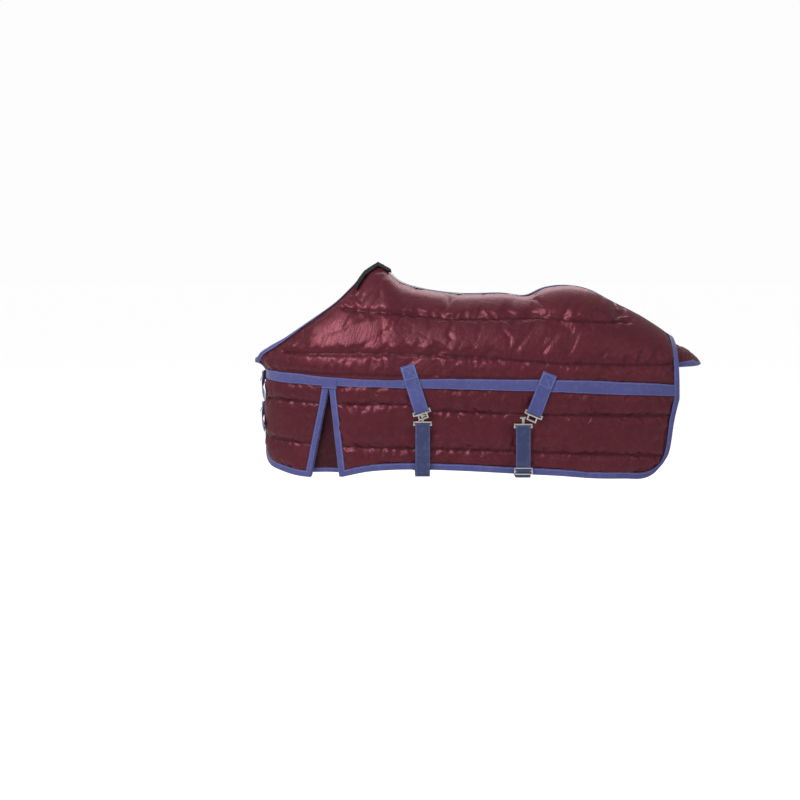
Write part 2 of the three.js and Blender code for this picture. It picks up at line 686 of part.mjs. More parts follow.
// The belly strap folds round the T hook, drops past the near hem, and crosses to the off hem
function bellyStrap({ name, place, lean, drop, shift, sag, slideAcross }) {
  const lowerX = place * backLength + shift;
  const hookZ = bandLevelAt(place * backLength + lean) - drop - hookDrop;
  const hem = hemLevelAt(lowerX);
  const bottom = hem - sag;
  const outer = hookY + foldRadius;
  add(`${name}_t_hook`, hookPlate(), chrome).position.set(lowerX, -hookY, hookZ);
  const fold = arcPoints(-hookY, hookZ - foldRadius, foldRadius, 0, Math.PI, 6);
  const bend = arcPoints(bellyBend - outer, bottom + bellyBend, bellyBend, Math.PI, 1.5 * Math.PI, 5);
  const farBend = arcPoints(outer - bellyBend, bottom + bellyBend, bellyBend, -Math.PI / 2, 0, 5);
  const line = [new THREE.Vector2(foldRadius - hookY, hookZ - foldRadius - foldLength), ...fold, ...bend, ...farBend];
  add(`${name}_belly_strap`, acrossX(strip(line, webbingThickness), webbingWidth), webbing).position.x = lowerX;

  const slide = add(`${name}_slider`, slidePlate(), chrome);
  const offset = webbingThickness / 2 + plateThickness / 2 + layerGap;
  slide.rotation.x = slideAcross ? Math.PI / 2 : 0;
  if (slideAcross) slide.position.set(lowerX, -hiddenSliderY, bottom - offset);
  else slide.position.set(lowerX, -outer - offset, bottom + sliderHeight);

  const anchor = strip([new THREE.Vector2(outer, hem + anchorLength),
    new THREE.Vector2(outer, bottom + bellyBend + 2)], webbingThickness);
  add(`${name}_off_anchor`, acrossX(anchor, webbingWidth), webbing).position.x = lowerX;
}

// A profile drawn in plan, pushed up about z = 0
function acrossZ(shape, width) {
  return new THREE.ExtrudeGeometry(shape, { depth: width, bevelEnabled: false, curveSegments: 2 })
    .translate(0, 0, -width / 2);
}

// A frame lying in the plane across x, with its thickness along x
function facing(shape, thickness) {
  const geometry = new THREE.ExtrudeGeometry(shape, { depth: thickness, bevelEnabled: false, curveSegments: 2 });
  geometry.translate(0, 0, -thickness / 2);
  const basis = new THREE.Matrix4().makeBasis(
    new THREE.Vector3(0, 1, 0), new THREE.Vector3(0, 0, 1), new THREE.Vector3(1, 0, 0));
  return geometry.applyMatrix4(basis);
}

const chestFace = frontHem[0][0] - bindingOuter - chestClearance;

function chestLine(start, end, offset) {
  const steps = 6;
  return Array.from({ length: steps + 1 }, (_, k) => {
    const y = start + (end - start) * k / steps;
    return new THREE.Vector2(chestFace - offset + y * y / (2 * chestRadius), y);
  });
}

function chestClosure(name, belowBand) {
  const set = new THREE.Group();
  set.position.set(0, 0, bandAt(0).z - belowBand);
  set.rotation.x = chestTilt;
  rug.add(set);
  const strapOffset = webbingThickness / 2;
  const frameOffset = webbingThickness + plateThickness / 2 + 2 * layerGap;
  const barY = buckleLength + 12;
  addTo(set, `${name}_chest_strap`, acrossZ(strip(chestLine(-105, barY - 12, strapOffset), webbingThickness), chestWidth), webbing);

  const bar = 4;
  const frame = roundedRect(new THREE.Shape(), barY + bar / 2 - buckleLength, -chestWidth / 2 - plateBar,
    buckleLength, chestWidth + 2 * plateBar, 4);
  frame.holes.push(roundedRect(new THREE.Path(), barY + 1.5 * bar - buckleLength, -chestWidth / 2 - 1,
    buckleLength - 2 * bar, chestWidth + 2, 2));
  addTo(set, `${name}_chest_buckle`, facing(frame, plateThickness), chrome).position.x = chestFace - frameOffset;

  const foldX = chestFace - frameOffset;
  const fold = arcPoints(foldX, barY, foldRadius, Math.PI, 2 * Math.PI, 6);
  const back = new THREE.Vector2(foldX + foldRadius, barY + 6);
  const front = new THREE.Vector2(foldX - foldRadius, barY + 6);
  const tail = chestLine(barY + 16, 128, strapOffset + 3);
  addTo(set, `${name}_chest_tab`, acrossZ(strip([back, ...fold.reverse(), front, ...tail], webbingThickness), chestWidth), webbing);

  const prongShape = roundedRect(new THREE.Shape(), barY - buckleLength - 1, -2, buckleLength - prongRoot, 4, 1.5);
  addTo(set, `${name}_chest_prong`, facing(prongShape, 2.4), chrome).position.x = foldX - foldRadius - 2.6;
}

for (const [sideName, side] of sides) {
  quiltedPanels(sideName, side);
  sideTapes(sideName, side);
  gusset(sideName, side);
}
spineTapes();
withersPad();
tailFlap();
surcingles.forEach(upperStrap);
surcingles.forEach(bellyStrap);
chestLevels.forEach(([name, belowBand]) => chestClosure(name, belowBand));

export default rug;
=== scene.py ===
import bpy
import math
import numpy as np
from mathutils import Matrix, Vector


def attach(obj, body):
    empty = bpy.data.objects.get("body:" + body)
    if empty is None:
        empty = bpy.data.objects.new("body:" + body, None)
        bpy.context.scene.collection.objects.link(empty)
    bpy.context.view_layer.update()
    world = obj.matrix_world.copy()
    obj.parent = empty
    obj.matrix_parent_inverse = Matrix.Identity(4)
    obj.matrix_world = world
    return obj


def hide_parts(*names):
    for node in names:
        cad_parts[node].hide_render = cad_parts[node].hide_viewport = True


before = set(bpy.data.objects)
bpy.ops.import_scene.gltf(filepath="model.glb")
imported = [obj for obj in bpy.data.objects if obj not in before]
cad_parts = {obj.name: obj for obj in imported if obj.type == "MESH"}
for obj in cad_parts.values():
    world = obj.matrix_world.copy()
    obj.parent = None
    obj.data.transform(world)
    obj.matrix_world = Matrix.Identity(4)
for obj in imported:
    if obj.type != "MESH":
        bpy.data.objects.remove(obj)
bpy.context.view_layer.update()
rng = np.random.default_rng(7)
print("frame loaded")

# the cut of the rug: stations from centre front to dock, in millimetres
mm = 0.001
cut = {
    "seamHalf": 0.5, "frontHalf": 3.0, "ridge": 2.7,
    "shellLift": 10.3, "tapeLift": 12.2, "bindWidth": 20.0, "bandWidth": 36.0,
    "gussetStation": 4.0, "patchHeight": 54.0, "withers": 6.0, "last": 15.0,
}
topLine = np.array([
    (-818, 3, -226, 1.7), (-787, 62, -205, 1.7), (-715, 110, -167, 1.7), (-620, 132, -103, 1.6),
    (-512, 108, -26, 1.5), (-443, 62, 42, 1.4), (-374, 0.5, 106, 1.4), (-288, 0.5, 42, 1.6),
    (-95, 0.5, 2.7, 1.9), (80, 0.5, 2.7, 2), (164, 0.5, -6, 2.1), (245, 0.5, 25, 2.1),
    (358, 0.5, 26, 2.2), (490, 0.5, -35, 2.2), (588, 0.5, -86, 2.2), (690, 0.5, -153, 2.1)], float)
bandLine = np.array([
    (-768, 3, -272), (-744, 112, -273), (-688, 180, -275), (-612, 228, -277), (-532, 256, -279),
    (-432, 271, -281), (-345, 277, -283), (-262, 279, -285), (-100, 282, -288), (80, 283, -293),
    (165, 282, -296), (250, 280, -299), (375, 272, -306), (490, 256, -311), (585, 234, -316),
    (668, 205, -320)], float)
frontHem = np.array([(-776, 3, -522), (-742, 108, -588), (-690, 160, -604), (-642, 195, -611),
    (-596, 218, -613)], float)
rearHem = np.array([
    (-499, 262, -606), (-405, 270, -585), (-330, 273, -578), (-235, 274, -576), (-85, 276, -580),
    (90, 277, -589), (165, 276, -593), (250, 272, -598), (365, 262, -608), (470, 245, -612),
    (545, 226, -612), (603, 205, -574)], float)


def curveAt(points, t):
    # centripetal Catmull-Rom through the points, t counted in points
    pts = np.vstack([2 * points[0] - points[1], points, 2 * points[-1] - points[-2]])
    t = np.clip(np.asarray(t, float), 0, len(points) - 1)
    k = np.minimum(t.astype(int), len(points) - 2)
    f = (t - k)[..., None]
    p0, p1, p2, p3 = pts[k], pts[k + 1], pts[k + 2], pts[k + 3]
    gap = lambda a, b: np.maximum((((a - b)[..., :3] ** 2).sum(-1)) ** 0.25, 1e-4)[..., None]
    d0, d1, d2 = gap(p1, p0), gap(p2, p1), gap(p3, p2)
    m1 = ((p1 - p0) / d0 - (p2 - p0) / (d0 + d1) + (p2 - p1) / d1) * d1
    m2 = ((p2 - p1) / d1 - (p3 - p1) / (d1 + d2) + (p3 - p2) / d2) * d1
    f2, f3 = f * f, f * f * f
    return (2 * f3 - 3 * f2 + 1) * p1 + (f3 - 2 * f2 + f) * m1 + (-2 * f3 + 3 * f2) * p2 + (f3 - f2) * m2


def clothAt(u, row, hem="rear"):
    # inner face of one side of the rug in metres, half width positive; row 0 top, 1 band, 2 hem
    u, row = np.broadcast_arrays(np.asarray(u, float), np.asarray(row, float))
    top = curveAt(topLine[:, :3], u)
    top[..., 1] = np.where(u >= cut["withers"], cut["seamHalf"], np.maximum(top[..., 1], cut["seamHalf"]))
    band = curveAt(bandLine, u)
    square = np.interp(u, np.arange(16), topLine[:, 3])
    a = np.clip(row, 0, 1) * math.pi / 2
    out = (np.sin(a) ** (2 / square))[..., None]
    down = (1 - np.clip(np.cos(a), 0, 1) ** (2 / square))[..., None]
    blend = np.concatenate([out, out, down], -1)
    upper = top + (band - top) * blend
    foot = curveAt(frontHem, u) if hem == "front" else curveAt(rearHem, u - cut["gussetStation"])
    drop = np.linalg.norm(band - foot, axis=-1)
    start = cut["patchHeight"] / 2 / drop
    t = np.clip(row - 1, 0, 1)
    drift = np.maximum(0, (t - start) / (1 - start))
    lower = band + (foot - band) * np.stack([drift, drift, t], -1)
    return np.where((row <= 1)[..., None], upper, lower) * mm


def clothNormal(u, row, hem="rear"):
    u, row = np.broadcast_arrays(np.asarray(u, float), np.asarray(row, float))
    du, dr = 0.03, 0.012
    lowU = np.maximum(u - du, cut["gussetStation"] if hem == "rear" and row.max() > 1.001 else 0)
    highU = np.minimum(u + du, cut["gussetStation"] if hem == "front" and row.max() > 1.001 else cut["last"])
    along = clothAt(highU, row, hem) - clothAt(lowU, row, hem)
    lowR = np.where(row > 1, np.maximum(row - dr, 1), np.maximum(row - dr, 0))
    highR = np.where(row > 1, np.minimum(row + dr, 2), np.minimum(row + dr, 1))
    across = clothAt(u, highR, hem) - clothAt(u, lowR, hem)
    n = np.cross(along, across)
    flat = (u <= 1e-6) | ((row <= 1e-6) & (u >= cut["withers"] - 1e-6))
    n[..., 1] = np.where(flat, 0, n[..., 1])
    return n / np.linalg.norm(n, axis=-1, keepdims=True)


corners = [
    {"at": (603, 205, -574), "pull": (-6, 0, 5), "reach": 26},
    {"at": (618, 205, -530), "pull": (15, 0, -3), "reach": 90},
    {"at": (-776, 3, -522), "pull": (7, 3, 9), "reach": 46},
]


def softenCorners(p):
    # cloth near the cut corners is drawn in, so that they are round
    for c in corners:
        d2 = ((p - np.array(c["at"]) * mm) ** 2).sum(-1)
        p = p + np.exp(-d2 / (c["reach"] * mm) ** 2)[..., None] * np.array(c["pull"]) * mm
    return p


def clothPoint(u, row, lift, hem="rear"):
    n = clothNormal(u, row, hem)
    return softenCorners(clothAt(u, row, hem) + n * np.asarray(lift)[..., None] * mm), n


def evenStations(u0, u1, count, level=1.0, hem="rear"):
    # stations spread evenly by distance along one row
    fine = np.linspace(u0, u1, 600)
    p = clothAt(fine, level, hem)
    d = np.concatenate([[0], np.cumsum(np.linalg.norm(np.diff(p, axis=0), axis=1))])
    return np.interp(np.linspace(0, d[-1], count), d, fine), d[-1]


# helpers for making pieces
def deselectAll():
    bpy.ops.object.select_all(action="DESELECT")


def activate(obj):
    deselectAll()
    obj.select_set(True)
    bpy.context.view_layer.objects.active = obj


def applyAll(obj):
    activate(obj)
    for m in list(obj.modifiers):
        bpy.ops.object.modifier_apply(modifier=m.name)


def inEdit(obj, *steps):
    activate(obj)
    bpy.ops.object.mode_set(mode="EDIT")
    bpy.ops.mesh.select_all(action="SELECT")
    for step in steps:
        step()
    bpy.ops.object.mode_set(mode="OBJECT")


def setPoints(obj, p):
    obj.data.vertices.foreach_set("co", np.ascontiguousarray(p, np.float32).ravel())
    obj.data.update()


def getPoints(obj):
    p = np.zeros(len(obj.data.vertices) * 3, np.float32)
    obj.data.vertices.foreach_get("co", p)
    return p.reshape(-1, 3).astype(float)


def laidGrid(name, countU, countV, place, side=1):
    # a flat grid laid onto a shape: place(s, t) gives points and the flat pattern's coordinates in metres
    deselectAll()
    bpy.ops.mesh.primitive_grid_add(x_subdivisions=countU, y_subdivisions=countV, size=2)
    obj = bpy.context.active_object
    obj.name = name
    obj.data.name = name
    flat = getPoints(obj)
    s, t = (flat[:, 0] + 1) / 2, (flat[:, 1] + 1) / 2
    p, pattern = place(s, t)
    p = np.array(p)
    p[:, 1] *= side
    setPoints(obj, p)
    loops = np.zeros(len(obj.data.loops), np.int32)
    obj.data.loops.foreach_get("vertex_index", loops)
    obj.data.uv_layers.active.data.foreach_set("uv", np.ascontiguousarray(pattern[loops], np.float32).ravel())
    if side < 0:
        inEdit(obj, bpy.ops.mesh.flip_normals)
    return obj


def thicken(obj, thickness, offset=-1.0, rounded=0):
    m = obj.modifiers.new("thickness", "SOLIDIFY")
    m.thickness = thickness
    m.offset = offset
    m.use_even_offset = False
    if rounded:
        s = obj.modifiers.new("rounded", "SUBSURF")
        s.levels = s.render_levels = rounded
    applyAll(obj)
    return obj


def smooth(obj, degrees=60):
    activate(obj)
    bpy.ops.object.shade_smooth_by_angle(angle=math.radians(degrees))
    return obj


def finishPiece(obj, body, material, nodes=()):
    obj.data.materials.clear()
    obj.data.materials.append(material)
    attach(obj, body)
    if nodes:
        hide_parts(*nodes)
    return obj


# smooth noise for creases, seeded so that each run is the same
noiseTable = rng.random((256, 256)) * 2 - 1


def noise2(x, y):
    xi, yi = np.floor(x).astype(int), np.floor(y).astype(int)
    fx, fy = x - xi, y - yi
    fx, fy = fx * fx * (3 - 2 * fx), fy * fy * (3 - 2 * fy)
    at = lambda i, j: noiseTable[i % 256, j % 256]
    low = at(xi, yi) * (1 - fx) + at(xi + 1, yi) * fx
    high = at(xi, yi + 1) * (1 - fx) + at(xi + 1, yi + 1) * fx
    return low * (1 - fy) + high * fy


def billow(x, y):
    # rounded folds with sharp valleys between them, about zero
    return np.abs(noise2(x, y)) ** 0.75 * 2 - 0.75


def ease(x, a, b):
    t = np.clip((x - a) / (b - a), 0, 1)
    return t * t * (3 - 2 * t)


# quilted cloth: outer face and wadding of the three panels of a side
quilt = {
    "cell": 7.6,            # grid step in millimetres, halved by the last subdivision
    "lineLift": 4.2,        # outer face at a sewn line, from the lining's inner face
    "tapeLift": 9.6,        # outer face under tapes
    "edgeLift": 7.5,        # outer face along the edge of a tape
    "peakLift": 14.0,       # outer face at the crown of a puff
    "roundness": 30.0,      # how far from the stitching a puff reaches its crown
    "pucker": 4.2, "puckerFade": 19.0, "puckerPitch": 24.0,
    "drag": 8.0, "dragWidth": 44.0, "dragLength": 190.0,
    "dragSets": [(0.87, 1.0, 11, 1.0), (1.15, 0.55, 43, 0.55), (0.5, 0.5, 77, 1.3), (-0.6, 0.35, 95, 0.9)],
    "growth": 0.07, "pressure": 2.2, "frames": 20, "cap": 6.5,
}
quilt["dragHere"] = lambda x, z: 0.45 + 0.55 * ease(z, -300, -200) * ease(-x, -560, -400)
sewnLines = {
    "upperOne": ([-820, -503, -94, 214, 374, 700], [-46, -46, -78, -75, -85, -100]),
    "upperTwo": ([-820, -714, -340, -19, 254, 657], [-193, -193, -191, -201, -222, -232]),
    "lowerThree": ([-768, -492, -265, -190, 98, 635], [-352, -359, -359, -379, -389, -403]),
    "lowerFour": ([-768, -492, -170, 99, 635], [-492, -503, -509, -516, -541]),
}


pressed = [  # where straps and the withers pad hold the quilting down: x range, z range, greatest lift
    (-300, -170, -450, -195, 12.0), (80, 250, -460, -215, 12.0), (-245, -187, -620, -440, 13.5),
        (95, 153, -620, -440, 13.5)]


def greatestLift(x, z, down, u):
    # how high the outer face may stand, in millimetres from the lining's inner face
    most = np.full(x.shape, 19.0)
    for x0, x1, z0, z1, held in pressed:
        inside = ease(x, x0 - 35, x0) * ease(-x, -x1 - 35, -x1) * ease(z, z0 - 30, z0) * ease(-z, -z1 - 25,
            -z1)
        most -= (19 - held) * inside
    spine = ease(u, 5.8, 6.4) * (1 - ease(down, 25, 120))
    most = np.minimum(most, 19 - 8.5 * spine)
    neck = (1 - ease(u, 5.8, 6.2)) * (1 - ease(down, 24, 60))
    most = np.minimum(most, 19 - 7 * neck)
    padded = ease(u, 4.7, 4.9) * (1 - ease(u, 6.6, 6.9)) * (1 - ease(down, 52, 75))
    return np.minimum(most, 19 - 9.5 * padded)


def rowOfLevel(u, name, lower=False):
    # the row at which one side's surface meets a sewn line
    xs, zs = sewnLines[name]
    row = np.full(u.shape, 1.5 if lower else 0.6)
    band = curveAt(bandLine, u)
    for _ in range(4):
        hem = "front" if lower and u.max() < cut["gussetStation"] else "rear"
        p = clothAt(u, row, hem) / mm
        z = np.interp(p[:, 0], xs, zs)
        if lower:
            foot = curveAt(frontHem, u) if hem == "front" else curveAt(rearHem, u - cut["gussetStation"])
            row = 1 + (z - band[:, 2]) / (foot[:, 2] - band[:, 2])
        else:
            top = curveAt(topLine[:, :3], u)
            square = np.interp(u, np.arange(16), topLine[:, 3])
            d = np.clip((z - top[:, 2]) / (band[:, 2] - top[:, 2]), 0, 0.999)
            row = (2 / math.pi) * np.arccos((1 - d) ** (square / 2))
    return row


def quiltLattice(u0, u1, knots, counts, hem):
    # stations along the panel and rows down it, with rows meeting every sewn line
    length = evenStations(u0, u1, 9, 1.0, hem)[1] / mm
    columns = int(length / quilt["cell"]) + 1
    us = evenStations(u0, u1, columns, 1.0, hem)[0]
    stops = knots(us)
    rows = []
    for k, count in enumerate(counts):
        f = np.arange(count + (k == len(counts) - 1)) / count
        rows.append(stops[k][:, None] + (stops[k + 1] - stops[k])[:, None] * f)
    return us, np.concatenate(rows, 1)


def upperKnots(us):
    one, two = rowOfLevel(us, "upperOne"), rowOfLevel(us, "upperTwo")
    one = np.maximum(one, 0.14)
    two = np.maximum(two, one + 0.24)
    two = np.minimum(two, 0.86)
    one = np.minimum(one, two - 0.1)
    return [np.zeros_like(us), one, two, np.ones_like(us) * 0.997]


def lowerKnots(us):
    return [np.ones_like(us) * 1.004, rowOfLevel(us, "lowerThree", True),
            rowOfLevel(us, "lowerFour", True), np.ones_like(us) * 2]


def makeQuilt(name, u0, u1, knots, counts, hem, sewn, tapeSides, front):
    us, rows = quiltLattice(u0, u1, knots, counts, hem)
    countU, countV = rows.shape
    uGrid = np.repeat(us[:, None], countV, 1)
    base, n = clothPoint(uGrid, rows, np.zeros(rows.shape), hem)
    flatBase = base / mm
    down = np.concatenate([np.zeros((countU, 1)),
        np.cumsum(np.linalg.norm(np.diff(flatBase, axis=1), axis=2), 1)], 1)
    middle = np.linalg.norm(np.diff(flatBase, axis=0), axis=2)
    along = np.concatenate([np.zeros((1, countV)), np.cumsum(middle, 0)], 0)
    line = np.full(rows.shape, 1e3)
    starts = np.cumsum([0] + list(counts))
    for k, real in sewn:
        d = np.abs(down - down[:, starts[k]:starts[k] + 1])
        line = np.minimum(line, d + 1e3 * (1 - real(us, flatBase[:, starts[k]]))[:, None])
    total = down[:, -1:]
    edges = {"top": down - tapeSides["top"], "bottom": total - down - tapeSides["bottom"],
             "start": along - tapeSides["start"], "end": along[-1:, :] - along - tapeSides["end"]}
    tape = np.minimum.reduce(list(edges.values()))
    q = quilt
    profile = lambda d: np.sqrt(1 - (1 - np.clip(d / q["roundness"], 0, 1)) ** 2)
    nearTape = np.where(tape > 0, q["edgeLift"] + (q["peakLift"] - q["edgeLift"]) * profile(tape),
        q["tapeLift"])
    nearTape = np.where((tape <= 0) & (tape > -3),
        q["edgeLift"] + (q["tapeLift"] - q["edgeLift"]) * -tape / 3, nearTape)
    nearLine = q["lineLift"] + (q["peakLift"] - q["lineLift"]) * profile(line)
    lift = np.where(tape > 0, np.minimum(nearTape, nearLine), nearTape)
    seam = np.minimum(line, np.where(tape > -4, np.abs(tape), 1e3))

    # puckers run across the stitching, drag creases slant over the puffs
    x, z = flatBase[..., 0], flatBase[..., 2]
    s = along + 40 * noise2(along / 90, down / 60) + 9 * front
    slant = s + 0.55 * down * np.sign(noise2(along / 260 + 7, down * 0 + front))
    ripple = billow(slant / q["puckerPitch"],
        down / 60 + 3 * front) + 0.6 * billow(slant / q["puckerPitch"] * 1.9 + 9, down / 40)
    reach = q["puckerFade"] * (1 + 0.7 * noise2(along / 45 + 3, down * 0))
    lift += np.where(tape > 0, q["pucker"] * ripple * np.exp(-(seam / reach) ** 1.3) * ease(seam, 0, 4), 0)
    strength = q["dragHere"](x, z)
    for angle, weight, phase, wide in q["dragSets"]:
        a = x * math.cos(angle) + z * math.sin(angle)
        b = z * math.cos(angle) - x * math.sin(angle)
        wander = 22 * noise2(b / 140 + phase, a / 150)
        fold = billow((b + wander) / (q["dragWidth"] * wide) + phase, a / (q["dragLength"] * wide) + phase)
        patchy = ease(noise2(x / 210 + phase, z / 120 + phase), -0.45, 0.5)
        lift += np.where(tape > 0, q["drag"] * weight * fold * patchy * strength * ease(np.minimum(tape,
            line), 1, 24), 0)
    most = greatestLift(x, z, down if hem == "rear" and front == 0 else down + 999, uGrid)
    lift = np.clip(np.minimum(lift, most - 2 + 2 * np.tanh((lift - most + 2) / 4)), 3.0, 19.5)
    points = base + n * lift[..., None] * mm

    def place(sv, tv):
        i = np.rint(sv * (countU - 1)).astype(int)
        j = np.rint(tv * (countV - 1)).astype(int)
        order.append((i, j))
        return points[i, j], np.stack([along[i, j], -down[i, j]], 1) * mm

    order = []
    obj = laidGrid(name, countU - 1, countV - 1, place)
    i, j = order[0]
    flat = lambda a: a[i, j]
    pin = np.clip(np.maximum(np.exp(-(np.clip(flat(line), 0, 99) / 2.5) ** 2), (flat(tape) <= 0.5) * 1.0),
        0, 1)
    start = getPoints(obj)
    start = settleQuilt(obj, pin, start)
    height = ((start - base[i, j]) * n[i, j]).sum(1) / mm
    start += n[i, j] * (np.minimum(height, flat(most)) - height)[:, None] * mm
    shapeQuilt(obj, start, base[i, j] + n[i, j] * 1.7 * mm, flat(np.minimum(line, np.abs(tape + 1.5))))
    return obj


def runCloth(obj, cloth, frames):
    # steps the simulation without weight or collision, and leaves its shape on the mesh
    cloth.settings.effector_weights.gravity = 0
    cloth.collision_settings.use_collision = False
    cloth.point_cache.frame_start, cloth.point_cache.frame_end = 1, frames
    for frameNow in range(1, frames + 1):
        bpy.context.scene.frame_set(frameNow)
    activate(obj)
    bpy.ops.object.modifier_apply(modifier=cloth.name)
    bpy.context.scene.frame_set(1)


def settleQuilt(obj, pin, start):
    # the wadding presses the cloth out between its stitching, and the spare cloth puckers
    group = obj.vertex_groups.new(name="sewn")
    for level in np.unique(np.round(pin, 1)):
        if level > 0:
            group.add([int(k) for k in np.nonzero(np.round(pin, 1) == level)[0]], float(level), "REPLACE")
    activate(obj)
    bpy.ops.object.modifier_add(type="CLOTH")
    cloth = obj.modifiers[-1]
    s = cloth.settings
    s.quality, s.mass, s.air_damping = 6, 0.12, 2
    s.tension_stiffness = s.compression_stiffness = 20
    s.shear_stiffness, s.bending_stiffness = 6, 0.12
    s.vertex_group_mass, s.pin_stiffness = "sewn", 1
    s.shrink_min = s.shrink_max = -quilt["growth"]
    s.use_pressure, s.uniform_pressure_force = True, quilt["pressure"]
    runCloth(obj, cloth, quilt["frames"])
    move = getPoints(obj) - start
    limit = quilt["cap"] * mm
    size = np.linalg.norm(move, axis=1, keepdims=True)
    move *= np.minimum(1, limit * np.tanh(size / limit) / np.maximum(size, 1e-9))
    obj.vertex_groups.clear()
    print(obj.name, "settled, mean move", round(float(size.mean() / mm), 2), "mm")
    return start + move * (1 - pin)[:, None]


def shapeQuilt(obj, outer, inner, seam):
    # outer and inner faces closed into one padded piece, with the distance to the stitching kept on it
    setPoints(obj, outer)
    thicken(obj, 0.004)
    count = len(outer)
    setPoints(obj, np.concatenate([outer, inner]))
    a = obj.data.attributes.new("seam", "FLOAT", "POINT")
    a.data.foreach_set("value", np.concatenate([seam, seam * 0 + 50]).astype(np.float32))
    m = obj.modifiers.new("fine", "SUBSURF")
    m.levels = m.render_levels = 1
    applyAll(obj)
    obj.data.shade_smooth()


def mirrorCopy(obj, name):
    # the other side's piece, with its own mesh
    deselectAll()
    twin = obj.copy()
    twin.data = obj.data.copy()
    twin.name = twin.data.name = name
    for key in list(twin.keys()):
        del twin[key]
    bpy.context.collection.objects.link(twin)
    setPoints(twin, getPoints(twin) * np.array([1, -1, 1]))
    inEdit(twin, bpy.ops.mesh.flip_normals)
    return twin


# shader groups and finishes
def newGroup(name, inputs, outputs):
    g = bpy.data.node_groups.new(name, "ShaderNodeTree")
    for label, kind, value in inputs:
        item = g.interface.new_socket(name=label, in_out="INPUT", socket_type=kind)
        if value is not None:
            item.default_value = value
    for label, kind in outputs:
        g.interface.new_socket(name=label, in_out="OUTPUT", socket_type=kind)
    return g, g.nodes.new("NodeGroupInput"), g.nodes.new("NodeGroupOutput")


def link(tree, a, b):
    tree.links.new(a, b)


def mathNode(tree, kind, a, b=None, c=None, clamp=False):
    node = tree.nodes.new("ShaderNodeMath")
    node.operation = kind
    node.use_clamp = clamp
    for socket, value in zip(node.inputs, (a, b, c)):
        if value is None:
            continue
        if isinstance(value, (int, float)):
            socket.default_value = value
        else:
            link(tree, value, socket)
    return node.outputs[0]


def mixColour(tree, factor, a, b, kind="MIX"):
    node = tree.nodes.new("ShaderNodeMix")
    node.data_type = "RGBA"
    node.blend_type = kind
    for socket, value in ((node.inputs[0], factor), (node.inputs[6], a), (node.inputs[7], b)):
        if isinstance(value, (int, float, tuple)):
            socket.default_value = value
        else:
            link(tree, value, socket)
    return node.outputs[2]


def rangeNode(tree, value, a, b, low=0.0, high=1.0):
    node = tree.nodes.new("ShaderNodeMapRange")
    link(tree, value, node.inputs[0])
    for k, v in enumerate((a, b, low, high)):
        node.inputs[k + 1].default_value = v
    return node.outputs[0]


def noiseNode(tree, vector, scale, detail=3.0, rough=0.5):
    node = tree.nodes.new("ShaderNodeTexNoise")
    link(tree, vector, node.inputs["Vector"])
    node.inputs["Scale"].default_value = scale
    node.inputs["Detail"].default_value = detail
    node.inputs["Roughness"].default_value = rough
    return node.outputs["Fac"]


def weaveGroup():
    # plain weave seen as warp and weft ribs, from flat cloth coordinates in metres
    g, put, get = newGroup("weave", [("Cloth", "NodeSocketVector", None),
        ("Warp Pitch", "NodeSocketFloat", 0.0005),
                                     ("Weft Pitch", "NodeSocketFloat", 0.0005)],
                           [("Height", "NodeSocketFloat"), ("Thread", "NodeSocketFloat")])
    split = g.nodes.new("ShaderNodeSeparateXYZ")
    link(g, put.outputs["Cloth"], split.inputs[0])
    wave = []
    for axis, pitch in ((0, "Warp Pitch"), (1, "Weft Pitch")):
        turn = mathNode(g, "DIVIDE", split.outputs[axis], put.outputs[pitch])
        wave.append(mathNode(g, "SINE", mathNode(g, "MULTIPLY", turn, 2 * math.pi)))
    over = mathNode(g, "MULTIPLY", wave[0], wave[1])
    height = mathNode(g, "MULTIPLY_ADD", over, 0.5, 0.5)
    thread = noiseNode(g, put.outputs["Cloth"], 900, 1)
    link(g, height, get.inputs["Height"])
    link(g, thread, get.inputs["Thread"])
    return g


def stitchGroup():
    # dashes of thread sunk in a line, from the distance to the line and the way along it
    g, put, get = newGroup("stitch", [("Distance", "NodeSocketFloat", 1.0), ("Along", "NodeSocketFloat", 0.0),
                                      ("Pitch", "NodeSocketFloat", 0.0042),
                                          ("Half Width", "NodeSocketFloat", 0.0005)],
                           [("Thread", "NodeSocketFloat"), ("Height", "NodeSocketFloat")])
    near = mathNode(g, "DIVIDE", put.outputs["Distance"], put.outputs["Half Width"])
    inLine = mathNode(g, "SUBTRACT", 1.0, mathNode(g, "ABSOLUTE", near), clamp=True)
    step = mathNode(g, "FRACT", mathNode(g, "DIVIDE", put.outputs["Along"], put.outputs["Pitch"]))
    dash = mathNode(g, "LESS_THAN", mathNode(g, "ABSOLUTE", mathNode(g, "SUBTRACT", step, 0.5)), 0.38)
    thread = mathNode(g, "MULTIPLY", mathNode(g, "GREATER_THAN", inLine, 0.05), dash)
    link(g, thread, get.inputs["Thread"])
    link(g, mathNode(g, "MULTIPLY", inLine, dash), get.inputs["Height"])
    return g


